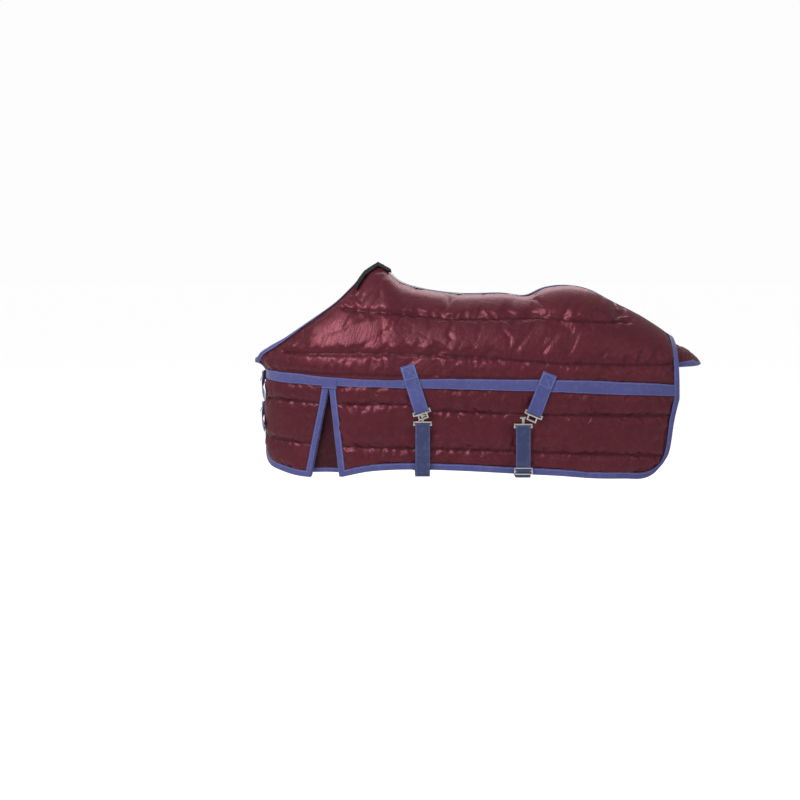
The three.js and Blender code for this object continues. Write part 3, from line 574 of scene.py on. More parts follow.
def driftGroup():
    # slow changes of shade, dust and handling over a surface
    g, put, get = newGroup("drift", [("Place", "NodeSocketVector", None),
        ("Colour", "NodeSocketColor", (0.5, 0.5, 0.5, 1)),
                                     ("Amount", "NodeSocketFloat", 0.2), ("Dust", "NodeSocketFloat", 0.1)],
                           [("Colour", "NodeSocketColor"), ("Mask", "NodeSocketFloat")])
    broad = noiseNode(g, put.outputs["Place"], 7, 3)
    fine = noiseNode(g, put.outputs["Place"], 60, 3)
    shade = mathNode(g, "MULTIPLY", mathNode(g, "SUBTRACT", broad, 0.5), put.outputs["Amount"])
    hsv = g.nodes.new("ShaderNodeHueSaturation")
    link(g, put.outputs["Colour"], hsv.inputs["Color"])
    link(g, mathNode(g, "ADD", 1.0, mathNode(g, "MULTIPLY", shade, 2.0)), hsv.inputs["Value"])
    dusty = mathNode(g, "MULTIPLY", rangeNode(g, fine, 0.5, 0.75), put.outputs["Dust"])
    link(g, mixColour(g, dusty, hsv.outputs[0], (0.55, 0.5, 0.48, 1)), get.inputs["Colour"])
    link(g, broad, get.inputs["Mask"])
    return g


weave, stitch, drift = weaveGroup(), stitchGroup(), driftGroup()


def newMaterial(name):
    m = bpy.data.materials.new(name)
    m.use_nodes = True
    tree = m.node_tree
    shader = next(n for n in tree.nodes if n.type == "BSDF_PRINCIPLED")
    return m, tree, shader


def placed(tree, group, **values):
    node = tree.nodes.new("ShaderNodeGroup")
    node.node_tree = group
    for label, value in values.items():
        socket = node.inputs[label.replace("_", " ")]
        if hasattr(value, "is_output"):
            link(tree, value, socket)
        else:
            socket.default_value = value
    return node


def bump(tree, height, strength, distance, under=None):
    node = tree.nodes.new("ShaderNodeBump")
    node.inputs["Strength"].default_value = strength
    node.inputs["Distance"].default_value = distance
    link(tree, height, node.inputs["Height"])
    if under is not None:
        link(tree, under, node.inputs["Normal"])
    return node.outputs[0]


satin = {"colour": (0.112, 0.0155, 0.026, 1), "light": (0.175, 0.032, 0.048, 1), "rough": 0.37,
    "sheen": 0.0, "metal": 0.35}


def satinMaterial(name, colour, light, rough, sheen, metal=0.0, seams=True):
    m, tree, shader = newMaterial(name)
    uv = tree.nodes.new("ShaderNodeUVMap").outputs[0]
    coord = tree.nodes.new("ShaderNodeTexCoord").outputs["Object"]
    tint = placed(tree, drift, Place=coord, Colour=colour, Amount=0.35, Dust=0.03)
    w = placed(tree, weave, Cloth=uv, Warp_Pitch=0.0009, Weft_Pitch=0.0007)
    thready = mixColour(tree, mathNode(tree, "MULTIPLY", w.outputs["Thread"], 0.5), tint.outputs["Colour"],
        light)
    wrinkle = noiseNode(tree, uv, 55, 5, 0.62)
    normal = bump(tree, wrinkle, 0.16, 0.004)
    for turn, size, depth in ((0.87, 1.0, 0.0035), (1.2, 1.9, 0.0016), (-0.5, 1.5, 0.0014)):
        spin = tree.nodes.new("ShaderNodeMapping")
        spin.vector_type = "TEXTURE"
        spin.inputs["Rotation"].default_value = (0, 0, turn)
        spin.inputs["Scale"].default_value = (0.11 / size, 0.022 / size, 1)
        link(tree, uv, spin.inputs["Vector"])
        fold = noiseNode(tree, spin.outputs[0], 1.0, 2.5, 0.55)
        valley = mathNode(tree, "ABSOLUTE", mathNode(tree, "SUBTRACT", fold, 0.5))
        normal = bump(tree, mathNode(tree, "POWER", valley, 0.7), 0.4, depth, normal)
    normal = bump(tree, w.outputs["Height"], 0.12, 0.0002, normal)
    if seams:
        seam = tree.nodes.new("ShaderNodeAttribute")
        seam.attribute_name = "seam"
        split = tree.nodes.new("ShaderNodeSeparateXYZ")
        link(tree, uv, split.inputs[0])
        near = mathNode(tree, "MULTIPLY", seam.outputs["Fac"], 0.001)
        s = placed(tree, stitch, Distance=near, Along=split.outputs[0], Half_Width=0.0011)
        # painted shade: the cloth colour is multiplied darker within 7 mm of the sewn lines, down to 0.55 on
        # the line, where the quilting sinks between its puffs
        seamShade = rangeNode(tree, seam.outputs["Fac"], 0, 7, 0.55, 1)
        seamShadedCloth = mixColour(tree, 1.0, thready, seamShade, "MULTIPLY")
        link(tree, mixColour(tree, s.outputs["Thread"], seamShadedCloth, (0.07, 0.011, 0.02, 1)),
            shader.inputs["Base Color"])
        normal = bump(tree, s.outputs["Height"], 0.6, 0.0006, normal)
    else:
        link(tree, thready, shader.inputs["Base Color"])
    gloss = mathNode(tree, "MULTIPLY_ADD", wrinkle, 0.16, rough - 0.08)
    link(tree, gloss, shader.inputs["Roughness"])
    link(tree, normal, shader.inputs["Normal"])
    shader.inputs["Specular IOR Level"].default_value = 0.4
    shader.inputs["Specular Tint"].default_value = (1, 0.72, 0.78, 1) if metal else (1, 1, 1, 1)
    shader.inputs["Metallic"].default_value = metal
    shader.inputs["Sheen Weight"].default_value = sheen
    shader.inputs["Sheen Roughness"].default_value = 0.35
    shader.inputs["Sheen Tint"].default_value = (0.95, 0.55, 0.6, 1)
    return m




def tapeMaterial(name, colour, light, width, pitch=0.0012, rough=0.72, box=None):
    # woven tape: ribs across it, a stitched line inside each edge
    m, tree, shader = newMaterial(name)
    uv = tree.nodes.new("ShaderNodeUVMap").outputs[0]
    split = tree.nodes.new("ShaderNodeSeparateXYZ")
    link(tree, uv, split.inputs[0])
    coord = tree.nodes.new("ShaderNodeTexCoord").outputs["Object"]
    tint = placed(tree, drift, Place=coord, Colour=colour, Amount=0.3, Dust=0.1)
    w = placed(tree, weave, Cloth=uv, Warp_Pitch=pitch, Weft_Pitch=pitch * 1.3)
    cloth = mixColour(tree, mathNode(tree, "MULTIPLY", w.outputs["Height"], 0.45), tint.outputs["Colour"],
        light)
    side = mathNode(tree, "ABSOLUTE", mathNode(tree, "SUBTRACT",
        mathNode(tree, "ABSOLUTE", split.outputs[1]), width / 2 - 0.003))
    s = placed(tree, stitch, Distance=side, Along=split.outputs[0], Pitch=0.0036, Half_Width=0.0007)
    thread = s.outputs["Thread"]
    if box:
        # a sewn box with a cross in it, near the start of the strap
        x = mathNode(tree, "SUBTRACT", split.outputs[0], box[0])
        y = split.outputs[1]
        wideX = mathNode(tree, "SUBTRACT", mathNode(tree, "ABSOLUTE", x), box[1])
        wideY = mathNode(tree, "SUBTRACT", mathNode(tree, "ABSOLUTE", y), box[1])
        rim = mathNode(tree, "ABSOLUTE", mathNode(tree, "MAXIMUM", wideX, wideY))
        cross = mathNode(tree, "ABSOLUTE",
            mathNode(tree, "SUBTRACT", mathNode(tree, "ABSOLUTE", x), mathNode(tree, "ABSOLUTE", y)))
        cross = mathNode(tree, "ADD", cross,
            mathNode(tree, "GREATER_THAN", mathNode(tree, "MAXIMUM", wideX, wideY), 0.0))
        sewn = placed(tree, stitch, Distance=mathNode(tree, "MINIMUM", rim, cross),
            Along=mathNode(tree, "ADD", x, y), Half_Width=0.001)
        thread = mathNode(tree, "MAXIMUM", thread, sewn.outputs["Thread"])
    link(tree, mixColour(tree, mathNode(tree, "MULTIPLY", thread, 0.55), cloth, (0.30, 0.32, 0.6, 1)),
        shader.inputs["Base Color"])
    valley = rangeNode(tree, side, 0, 0.0022, 0, 1)
    normal = bump(tree, valley, 0.5, 0.0008)
    normal = bump(tree, noiseNode(tree, uv, 70, 4, 0.6), 0.3, 0.0012, normal)
    normal = bump(tree, w.outputs["Height"], 0.5, 0.0004, normal)
    link(tree, normal, shader.inputs["Normal"])
    link(tree, rangeNode(tree, w.outputs["Thread"], 0.3, 0.7, rough - 0.1, rough + 0.08),
        shader.inputs["Roughness"])
    shader.inputs["Sheen Weight"].default_value = 0.3
    shader.inputs["Sheen Roughness"].default_value = 0.4
    return m


def plateMaterial(name="bright plate"):
    m, tree, shader = newMaterial(name)
    coord = tree.nodes.new("ShaderNodeTexCoord").outputs["Object"]
    tint = placed(tree, drift, Place=coord, Colour=(0.78, 0.77, 0.73, 1), Amount=0.12, Dust=0.04)
    scratch = noiseNode(tree, coord, 420, 2)
    link(tree, tint.outputs["Colour"], shader.inputs["Base Color"])
    shader.inputs["Metallic"].default_value = 1
    link(tree, rangeNode(tree, scratch, 0.3, 0.8, 0.1, 0.26), shader.inputs["Roughness"])
    link(tree, bump(tree, scratch, 0.08, 0.0002), shader.inputs["Normal"])
    return m


def fleeceMaterial():
    m, tree, shader = newMaterial("black fleece")
    coord = tree.nodes.new("ShaderNodeTexCoord").outputs["Object"]
    tint = placed(tree, drift, Place=coord, Colour=(0.012, 0.013, 0.015, 1), Amount=0.5, Dust=0.05)
    tuft = noiseNode(tree, coord, 260, 4, 0.7)
    link(tree, mixColour(tree, rangeNode(tree, tuft, 0.45, 0.8), tint.outputs["Colour"],
        (0.035, 0.037, 0.042, 1)), shader.inputs["Base Color"])
    link(tree, rangeNode(tree, tuft, 0.2, 0.8, 0.88, 1), shader.inputs["Roughness"])
    link(tree, bump(tree, tuft, 1, 0.003), shader.inputs["Normal"])
    shader.inputs["Sheen Weight"].default_value = 0.06
    shader.inputs["Sheen Roughness"].default_value = 0.6
    shader.inputs["Specular IOR Level"].default_value = 0.2
    return m


shellCloth = satinMaterial("maroon satin nylon", satin["colour"], satin["light"], satin["rough"],
    satin["sheen"], satin["metal"])
gussetCloth = satinMaterial("maroon gusset nylon", (0.05, 0.008, 0.014, 1), (0.08, 0.014, 0.022, 1), 0.42,
    0.0, 0.3, seams=False)
bandTape = tapeMaterial("blue band tape", (0.078, 0.084, 0.29, 1), (0.12, 0.13, 0.39, 1), 0.036)
bindTape = tapeMaterial("blue binding tape", (0.078, 0.084, 0.29, 1), (0.12, 0.13, 0.39, 1), 0.040)
strapWeb = tapeMaterial("blue webbing", (0.06, 0.075, 0.27, 1), (0.10, 0.12, 0.37, 1), 0.050, 0.0022, 0.66,
    (0.027, 0.02))
bellyWeb = tapeMaterial("navy webbing", (0.033, 0.047, 0.145, 1), (0.055, 0.075, 0.21, 1), 0.050, 0.0022,
    0.66)
brightPlate = plateMaterial()
fleeceCloth = fleeceMaterial()
print("finishes made")

# the panels
always = lambda u, p: np.ones_like(u)
upperSewn = [(1, lambda u, p: ease(p[:, 0], -520, -490) * ease(-p[:, 0], -560, -500)),
    (2, lambda u, p: ease(p[:, 0], -728, -700))]
panelSpecs = {
    "upper": dict(u0=0.0, u1=15.0, knots=upperKnots, counts=(27, 19, 12), hem="rear", sewn=upperSewn,
                  tapeSides={"top": 20, "bottom": 24, "start": 20, "end": 20}, front=0),
    "front": dict(u0=0.0, u1=3.966, knots=lowerKnots, counts=(12, 19, 13), hem="front",
        sewn=[(1, always), (2, always)],
                  tapeSides={"top": 18, "bottom": 20, "start": 20, "end": 20}, front=1),
    "lower": dict(u0=4.034, u1=15.0, knots=lowerKnots, counts=(12, 19, 11), hem="rear",
        sewn=[(1, always), (2, always)],
                  tapeSides={"top": 18, "bottom": 20, "start": 20, "end": 20}, front=2),
}
for panel, spec in panelSpecs.items():
    near = makeQuilt("near_" + panel + "_quilt", **spec)
    finishPiece(near, "rug", shellCloth, ("near_%s_shell" % panel, "near_%s_wadding" % panel))
    far = mirrorCopy(near, "off_" + panel + "_quilt")
    finishPiece(far, "rug", shellCloth, ("off_%s_shell" % panel, "off_%s_wadding" % panel))
    print(panel, "panels made,", len(near.data.polygons), "faces each")


# lining, one sheet behind each quilted panel
lining = {"puff": 3.0, "roundness": 35.0, "thickness": 0.9}


def makeLining(name, u0, u1, knots, counts, hem, side):
    us, rows = quiltLattice(u0, u1, knots, [max(c // 2, 5) for c in counts], hem)
    us, rows = us[::2], rows[::2]
    countU, countV = rows.shape
    uGrid = np.repeat(us[:, None], countV, 1)
    base, n = clothPoint(uGrid, rows, np.zeros(rows.shape), hem)
    down = np.concatenate([np.zeros((countU, 1)),
        np.cumsum(np.linalg.norm(np.diff(base, axis=1), axis=2), 1)], 1)
    along = np.concatenate([np.zeros((1, countV)),
        np.cumsum(np.linalg.norm(np.diff(base, axis=0), axis=2), 0)], 0)
    starts = np.cumsum([0] + [max(c // 2, 5) for c in counts])
    near = np.minimum.reduce([np.abs(down - down[:, k:k + 1]) for k in starts]) / mm
    near = np.minimum(near, np.minimum(along, along[-1:] - along) / mm)
    lift = 0.4 - lining["puff"] * np.sqrt(1 - (1 - np.clip(near / lining["roundness"], 0, 1)) ** 2)
    lift += np.where(near > 12, 1.2 * noise2(along * 30, down * 18), 0)
    points = base + n * np.minimum(lift, 0.5)[..., None] * mm

    def place(sv, tv):
        i, j = np.rint(sv * (countU - 1)).astype(int), np.rint(tv * (countV - 1)).astype(int)
        return points[i, j], np.stack([along[i, j], -down[i, j]], 1)

    obj = laidGrid(name, countU - 1, countV - 1, place, side)
    # the cut laid flat: each strip's drop times its width halfway down, before any puffing
    drops = (down[1:, -1] + down[:-1, -1]) / 2
    area = float(np.sum(drops * np.mean(np.diff(along, axis=0), axis=1)))
    size = (float(along.max()), float(down.max()))
    thicken(obj, lining["thickness"] * mm, 0, 1)
    obj.data.shade_smooth()
    return obj, size, area


liningLook = satinMaterial("plain lining nylon", (0.016, 0.018, 0.035, 1), (0.03, 0.033, 0.055, 1), 0.5,
    0.05, seams=False)
for sideName, side in (("near", -1), ("off", 1)):
    for panel, spec in panelSpecs.items():
        node = "%s_%s_lining" % (sideName, panel)
        sheetObj, size, area = makeLining(node + "_cloth", spec["u0"], spec["u1"], spec["knots"],
            spec["counts"], spec["hem"], side)
        finishPiece(sheetObj, "rug", liningLook, (node,))
print("linings made")


# tapes and bindings
tape = {"thickness": 1.2, "bandLift": 12.0, "outerLeg": 13.0, "innerLeg": -2.3, "beyond": 2.3, "wave": 0.7}


def wander(x, seed, size):
    # slow waviness of a sewn tape, x in metres
    return size * (noise2(x * 22 + seed, x * 0 + seed) + 0.5 * noise2(x * 61 + seed, x * 0 + 9))


def bandPoint(u, t, lift):
    # a point t millimetres below the middle of the side band
    up = curveAt(topLine[:, :3], u)
    chord = np.linalg.norm(up - curveAt(bandLine, u), axis=-1)
    over, nOver = clothPoint(u, 1 + np.minimum(t, 0) / chord, np.zeros(u.shape))
    level, n = clothPoint(u, np.ones(u.shape) * 0.999, np.zeros(u.shape))
    n[..., 2] = 0
    n /= np.linalg.norm(n, axis=-1, keepdims=True)
    level[..., 2] -= np.maximum(t, 0) * mm
    upper = (t < 0)[..., None]
    n = np.where(upper, nOver * 0.5 + n * 0.5, n)
    n /= np.linalg.norm(n, axis=-1, keepdims=True)
    return np.where(upper, over, level) + n * np.asarray(lift)[..., None] * mm


def makeBand(name, u0, u1, half, lift, material, side, below=0):
    us, length = evenStations(u0, u1, int(max((u1 - u0) * 14, 10)))

    def place(sv, tv):
        u = np.interp(sv, np.linspace(0, 1, len(us)), us)
        t = (half + below / 2) * (2 * tv - 1) + below / 2
        x = sv * length
        rise = wander(x, 3 if half < 20 else 8, tape["wave"]) * (0.4 + 0.6 * np.abs(2 * tv - 1))
        drift = wander(x, 31, 0.9)
        return bandPoint(u, t + drift, lift + rise), np.stack([x, (1 - 2 * tv) * half * mm], 1)

    obj = laidGrid(name, len(us) - 1, 6, place, side)
    thicken(obj, tape["thickness"] * mm, 0, 1)
    return smooth(obj, 50)


def makeBinding(name, path, side, inset, material, width=20.0, mirrorTop=False):
    # path: edge stations (u, row, hem); inset gives the station one tape width inside
    e, eN, f, fN = [], [], [], []
    for u, row, hem in path:
        a, an = clothPoint(np.array([u]), np.array([row]), np.zeros(1), hem)
        iu, ir = inset(u, row, hem)
        b, bn = clothPoint(np.array([iu]), np.array([ir]), np.zeros(1), hem)
        e.append(a[0]), eN.append(an[0]), f.append(b[0]), fN.append(bn[0])
    e, eN, f, fN = map(np.array, (e, eN, f, fN))
    steps = np.concatenate([[0], np.cumsum(np.linalg.norm(np.diff(e, axis=0), axis=1))])
    keep = np.concatenate([[True], np.diff(steps) > 1e-6])
    e, eN, f, fN, steps = e[keep], eN[keep], f[keep], fN[keep], steps[keep]
    out = e - f
    if mirrorTop:
        out[:, 1] = np.where(np.abs(e[:, 1]) < 0.0012, 0, out[:, 1])
    out -= eN * (out * eN).sum(1, keepdims=True)
    out /= np.maximum(np.linalg.norm(out, axis=1, keepdims=True), 1e-9)
    count = int(steps[-1] / 0.011) + 2
    tb = tape

    def place(sv, tv):
        x = sv * steps[-1]
        pick = lambda a: np.stack([np.interp(x, steps, a[:, k]) for k in range(3)], 1)
        E, EN, F, FN, O = pick(e), pick(eN), pick(f), pick(fN), pick(out)
        leg = np.clip(tv / 0.36, 0, 1)
        turn = np.clip((tv - 0.36) / 0.28, 0, 1)
        back = np.clip((tv - 0.64) / 0.36, 0, 1)
        wave = wander(x, 5, 0.6)
        bent = 0.5 - 0.5 * np.cos(turn * math.pi)
        lift = tb["outerLeg"] + wave * (1 - leg) - 1.0 * (1 - leg) + (tb["innerLeg"] - tb["outerLeg"]) * bent
        inside = (1 - leg) + back
        N = EN + (FN - EN) * inside[:, None]
        N /= np.linalg.norm(N, axis=1, keepdims=True)
        beyond = tb["beyond"] * np.sqrt(np.sin(turn * math.pi).clip(0, 1))
        reach = 1 + wander(x, 17, 0.03)
        p = E + (F - E) * (inside * reach)[:, None] + N * lift[:, None] * mm + O * beyond[:, None] * mm
        across = (tv - 0.5) * 2 * width * mm
        return p, np.stack([x, across], 1)

    obj = laidGrid(name, count, 16, place, side)
    thicken(obj, tb["thickness"] * mm, 0)
    return smooth(obj, 50)


def rowsBetween(a, b, count):
    return np.linspace(a, b, count)


def insetEdge(u, row, stations, least, hem):
    # station and row a binding's width in from the ends of a panel and from its hem
    a, b, c, d = stations
    here = clothAt(np.array(stations), np.full(4, min(max(row, least), 2.0)), hem) / mm
    first = a + 20 / (np.linalg.norm(here[1] - here[0]) / (b - a))
    last = d - 20 / (np.linalg.norm(here[3] - here[2]) / (d - c))
    foot, band = (clothAt(np.array([u]), np.array([level]), hem) for level in (2.0, 1.0))
    drop = np.linalg.norm(foot - band) / mm
    return min(max(u, first), last), min(row, 2 - 20 / drop)


def insetFront(u, row, hem):
    return insetEdge(u, row, (0.0, 0.5, 3.5, 3.966), 1.0, "front")


def insetRear(u, row, hem):
    return insetEdge(u, row, (4.034, 4.5, 14.5, 15.0), 0.0, "rear")


def insetTop(u, row, hem):
    up, low = curveAt(topLine[:, :3], np.array([u]))[0], curveAt(bandLine, np.array([u]))[0]
    depth = np.linalg.norm(up - low)
    return u, min(20 / depth, 0.25)


def hemRun(start, end, count, hem):
    return [(u, 2.0, hem) for u in np.linspace(start, end, count)]


def edgeRun(u, start, end, count, hem):
    return [(u, r, hem) for r in rowsBetween(start, end, count)]


neckPath = [(u, 0.0, "rear") for u in np.linspace(0, 6, 70)]
frontPath = edgeRun(0.0, 0.22, 0.99, 8, "rear") + edgeRun(0.0, 1.01, 1.93, 30, "front")
frontPath += edgeRun(0.0, 1.935, 2.0, 8, "front") + hemRun(0.03, 3.8, 60, "front")
frontPath += hemRun(3.82, 3.966, 6, "front") + edgeRun(3.966, 1.995, 1.06, 40, "front")
rearPath = edgeRun(4.034, 1.06, 1.995, 40, "rear") + hemRun(4.034, 14.7, 170, "rear")
rearPath += hemRun(14.72, 15, 12, "rear") + edgeRun(15.0, 1.99, 1.01, 40, "rear")
rearPath += edgeRun(15.0, 0.99, 0.05, 50, "rear")
for sideName, side in (("near", -1), ("off", 1)):
    band = makeBand(sideName + "_side_band_tape", 0.0, 15.0, 18, tape["bandLift"], bandTape, side)
    finishPiece(band, "rug", bandTape, (sideName + "_side_band",))
    patch = makeBand(sideName + "_gusset_patch_tape", 3.72, 4.28, 18, 15.0, bandTape, side, below=9)
    finishPiece(patch, "rug", bandTape, (sideName + "_gusset_patch",))
    for label, path, inset in (("neck", neckPath, insetTop), ("front", frontPath, insetFront),
        ("rear", rearPath, insetRear)):
        bound = makeBinding("%s_%s_edge" % (sideName, label), path, side, inset, bindTape,
            mirrorTop=label == "neck")
        finishPiece(bound, "rug", bindTape, ("%s_%s_binding" % (sideName, label),))
print("bindings made")


def makeSpine():
    us, length = evenStations(6.0, 15.0, 150, 0.0)

    def place(sv, tv):
        u = np.interp(sv, np.linspace(0, 1, len(us)), us)
        t = (2 * tv - 1) * 20
        up, low = curveAt(topLine[:, :3], u), curveAt(bandLine, u)
        row = np.minimum(np.abs(t) / np.linalg.norm(up - low, axis=1), 0.25)
        p, n = clothPoint(u, row, tape["bandLift"] - 0.1 + wander(sv * length, 11, 0.5))
        p[:, 1] *= np.sign(t + 1e-9) * np.minimum(1, np.abs(t) / 3)
        return p, np.stack([sv * length, -t * mm], 1)

    obj = laidGrid("spine_tape", len(us) - 1, 12, place, 1)
    thicken(obj, tape["thickness"] * mm, 0)
    return smooth(obj, 60)


finishPiece(makeSpine(), "rug", bindTape, ("spine_binding",))


def makeSeamTape():
    def place(sv, tv):
        u = 6.45 + sv * (14.77 - 6.45)
        centre = curveAt(topLine[:, :3], u)
        up, n = clothPoint(u, np.full(u.shape, 0.06), np.zeros(u.shape))
        slope = (centre[:, 2] * mm - up[:, 2]) / np.maximum(up[:, 1], 0.004)
        y = (2 * tv - 1) * 12
        drop = np.where(np.abs(centre[:, 2] - cut["ridge"]) < 0.3, 0, slope * np.abs(y))
        z = centre[:, 2] - cut["ridge"] + 0.6 - drop
        return np.stack([centre[:, 0], y, z], 1) * mm, np.stack([sv * 1.1, -y * mm], 1)

    obj = laidGrid("seam_tape", 120, 6, place, 1)
    thicken(obj, tape["thickness"] * mm, 0)
    return smooth(obj, 60)


finishPiece(makeSeamTape(), "rug", bindTape, ("spine_seam_tape",))

# shoulder gussets
gusset = {"lift": -9.5, "fold": 9.0, "ease": 3.0, "thickness": 2.0, "binding": 20.0}


def gussetPoint(across, row, lift):
    # from the front panel's edge, behind the V, to the rear panel's edge
    stops = np.array([3.7, 3.966, 4.034, 4.3])
    ps, ns = [], []
    for k, u in enumerate(stops):
        p, n = clothPoint(np.full(row.shape, u), row, np.zeros(row.shape), "front" if k < 2 else "rear")
        ps.append(p), ns.append(n)
    ps, ns = np.array(ps), np.array(ns)
    t = across * 3
    k = np.minimum(t.astype(int), 2)
    i = np.arange(len(row))
    f = (t - k)[:, None]
    p = ps[k, i] * (1 - f) + ps[k + 1, i] * f
    n = ns[k, i] * (1 - f) + ns[k + 1, i] * f
    n /= np.linalg.norm(n, axis=1, keepdims=True)
    return p + n * np.asarray(lift)[:, None] * mm


for sideName, side in (("near", -1), ("off", 1)):
    def place(sv, tv):
        row = 1.09 + tv * (1.965 - 1.09)
        pleat = gusset["fold"] * tv * np.exp(-((sv - 0.5) / 0.16) ** 2) + 1.5 * noise2(sv * 9, tv * 7 + side)
        return gussetPoint(sv, row, gusset["lift"] - pleat), np.stack([sv * 0.13, -tv * 0.27], 1)

    cloth = laidGrid(sideName + "_gusset_cloth", 26, 34, place, side)
    # the cut is a flat trapezium, measured between the panels it joins with the pleat's ease added
    spread = []
    for level in (1.09, 1.965):
        line = gussetPoint(np.linspace(0, 1, 40), np.full(40, level), np.full(40, gusset["lift"]))
        spread.append(float(np.linalg.norm(np.diff(line, axis=0), axis=1).sum()))
    fall = gussetPoint(np.full(40, 0.5), np.linspace(1.09, 1.965, 40), np.full(40, gusset["lift"]))
    fall = float(np.linalg.norm(np.diff(fall, axis=0), axis=1).sum())
    spread[1] += gusset["ease"] * mm
    thicken(cloth, gusset["thickness"] * mm, 0, 1)
    cloth.data.shade_smooth()
    finishPiece(cloth, "rug", gussetCloth, (sideName + "_gusset",))
    print(sideName, "gusset cut, top, foot and drop in m:", [round(w, 4) for w in spread + [fall]])

    def placeHem(sv, tv):
        row = 1.965 - np.abs(tv - 0.5) * 0.09
        pleat = gusset["fold"] * np.exp(-((sv - 0.5) / 0.16) ** 2)
        fold = np.where(tv < 0.5, 2.4, -2.4) * np.minimum(1, np.abs(tv - 0.5) / 0.1)
        return gussetPoint(sv, row, gusset["lift"] - pleat + fold), np.stack([sv * 0.13, (tv - 0.5) * 0.04],
            1)

    hemTape = laidGrid(sideName + "_gusset_edge", 26, 16, placeHem, side)
    thicken(hemTape, 1.1 * mm, 0)
    finishPiece(smooth(hemTape, 60), "rug", bindTape, (sideName + "_gusset_binding",))
print("gussets made")


# webbing straps
straps = {"wide": 50.0, "chestWide": 38.0, "thick": 2.0, "hookY": 299.0, "plateY": 307.0, "fold": 4.0,
    "bend": 14.0}
surcingles = {
    "front": {"top": (-268.7, -224.6), "eye": (-218.7, -381.7), "low": -215.7, "hook": -419.7,
        "floor": -600.2},
    "rear": {"top": (216.3, -251.6), "eye": (158.3, -389.6), "low": 124.3, "hook": -427.6, "floor": -603.9},
}


def smoothPath(points, step=1.2):
    # evenly spaced points along a polyline with its corners eased
    p = np.array(points, float)
    d = np.concatenate([[0], np.cumsum(np.linalg.norm(np.diff(p, axis=0), axis=1))])
    count = max(int(d[-1] / step), 8)
    x = np.linspace(0, d[-1], count + 1)
    q = np.stack([np.interp(x, d, p[:, k]) for k in range(p.shape[1])], 1)
    for _ in range(2):
        q[1:-1] = (q[:-2] + 2 * q[1:-1] + q[2:]) / 4
    return q, x


def makeStrap(name, points, width, toWorld, thick, ripple=0.0, seed=1):
    # webbing along a path: toWorld(path point, sideways) gives its place in millimetres
    q, x = smoothPath(points)

    def place(sv, tv):
        i = np.rint(sv * (len(q) - 1)).astype(int)
        w = (2 * tv - 1) * width / 2
        curl = ripple * noise2(x[i] / 60 + seed, tv * 1.5 + seed) * ease(x[-1] - x[i], 75, 130)
        return toWorld(q[i], w, curl) * mm, np.stack([x[i], w], 1) * mm

    obj = laidGrid(name, len(q) - 1, 8, place, 1)
    inEdit(obj, lambda: bpy.ops.mesh.normals_make_consistent(inside=False))
    thicken(obj, thick * mm, 0)
    b = obj.modifiers.new("edge", "BEVEL")
    b.width, b.segments, b.limit_method = 0.0004, 2, "ANGLE"
    applyAll(obj)
    return smooth(obj, 40)


def arc(cy, cz, r, a, b, n=10):
    return [(cy + r * math.cos(t), cz + r * math.sin(t)) for t in np.linspace(a, b, n)]


def surfaceOut(x, z):
    # how far out the near side's lining lies at one place along the rug and height
    u = np.interp(x, bandLine[:, 0], np.arange(16))
    rows = np.concatenate([np.linspace(0.3, 1, 60), np.linspace(1.01, 2, 40)])
    p = clothAt(np.full(rows.shape, u), rows) / mm
    return np.interp(-z, -p[:, 2], p[:, 1])


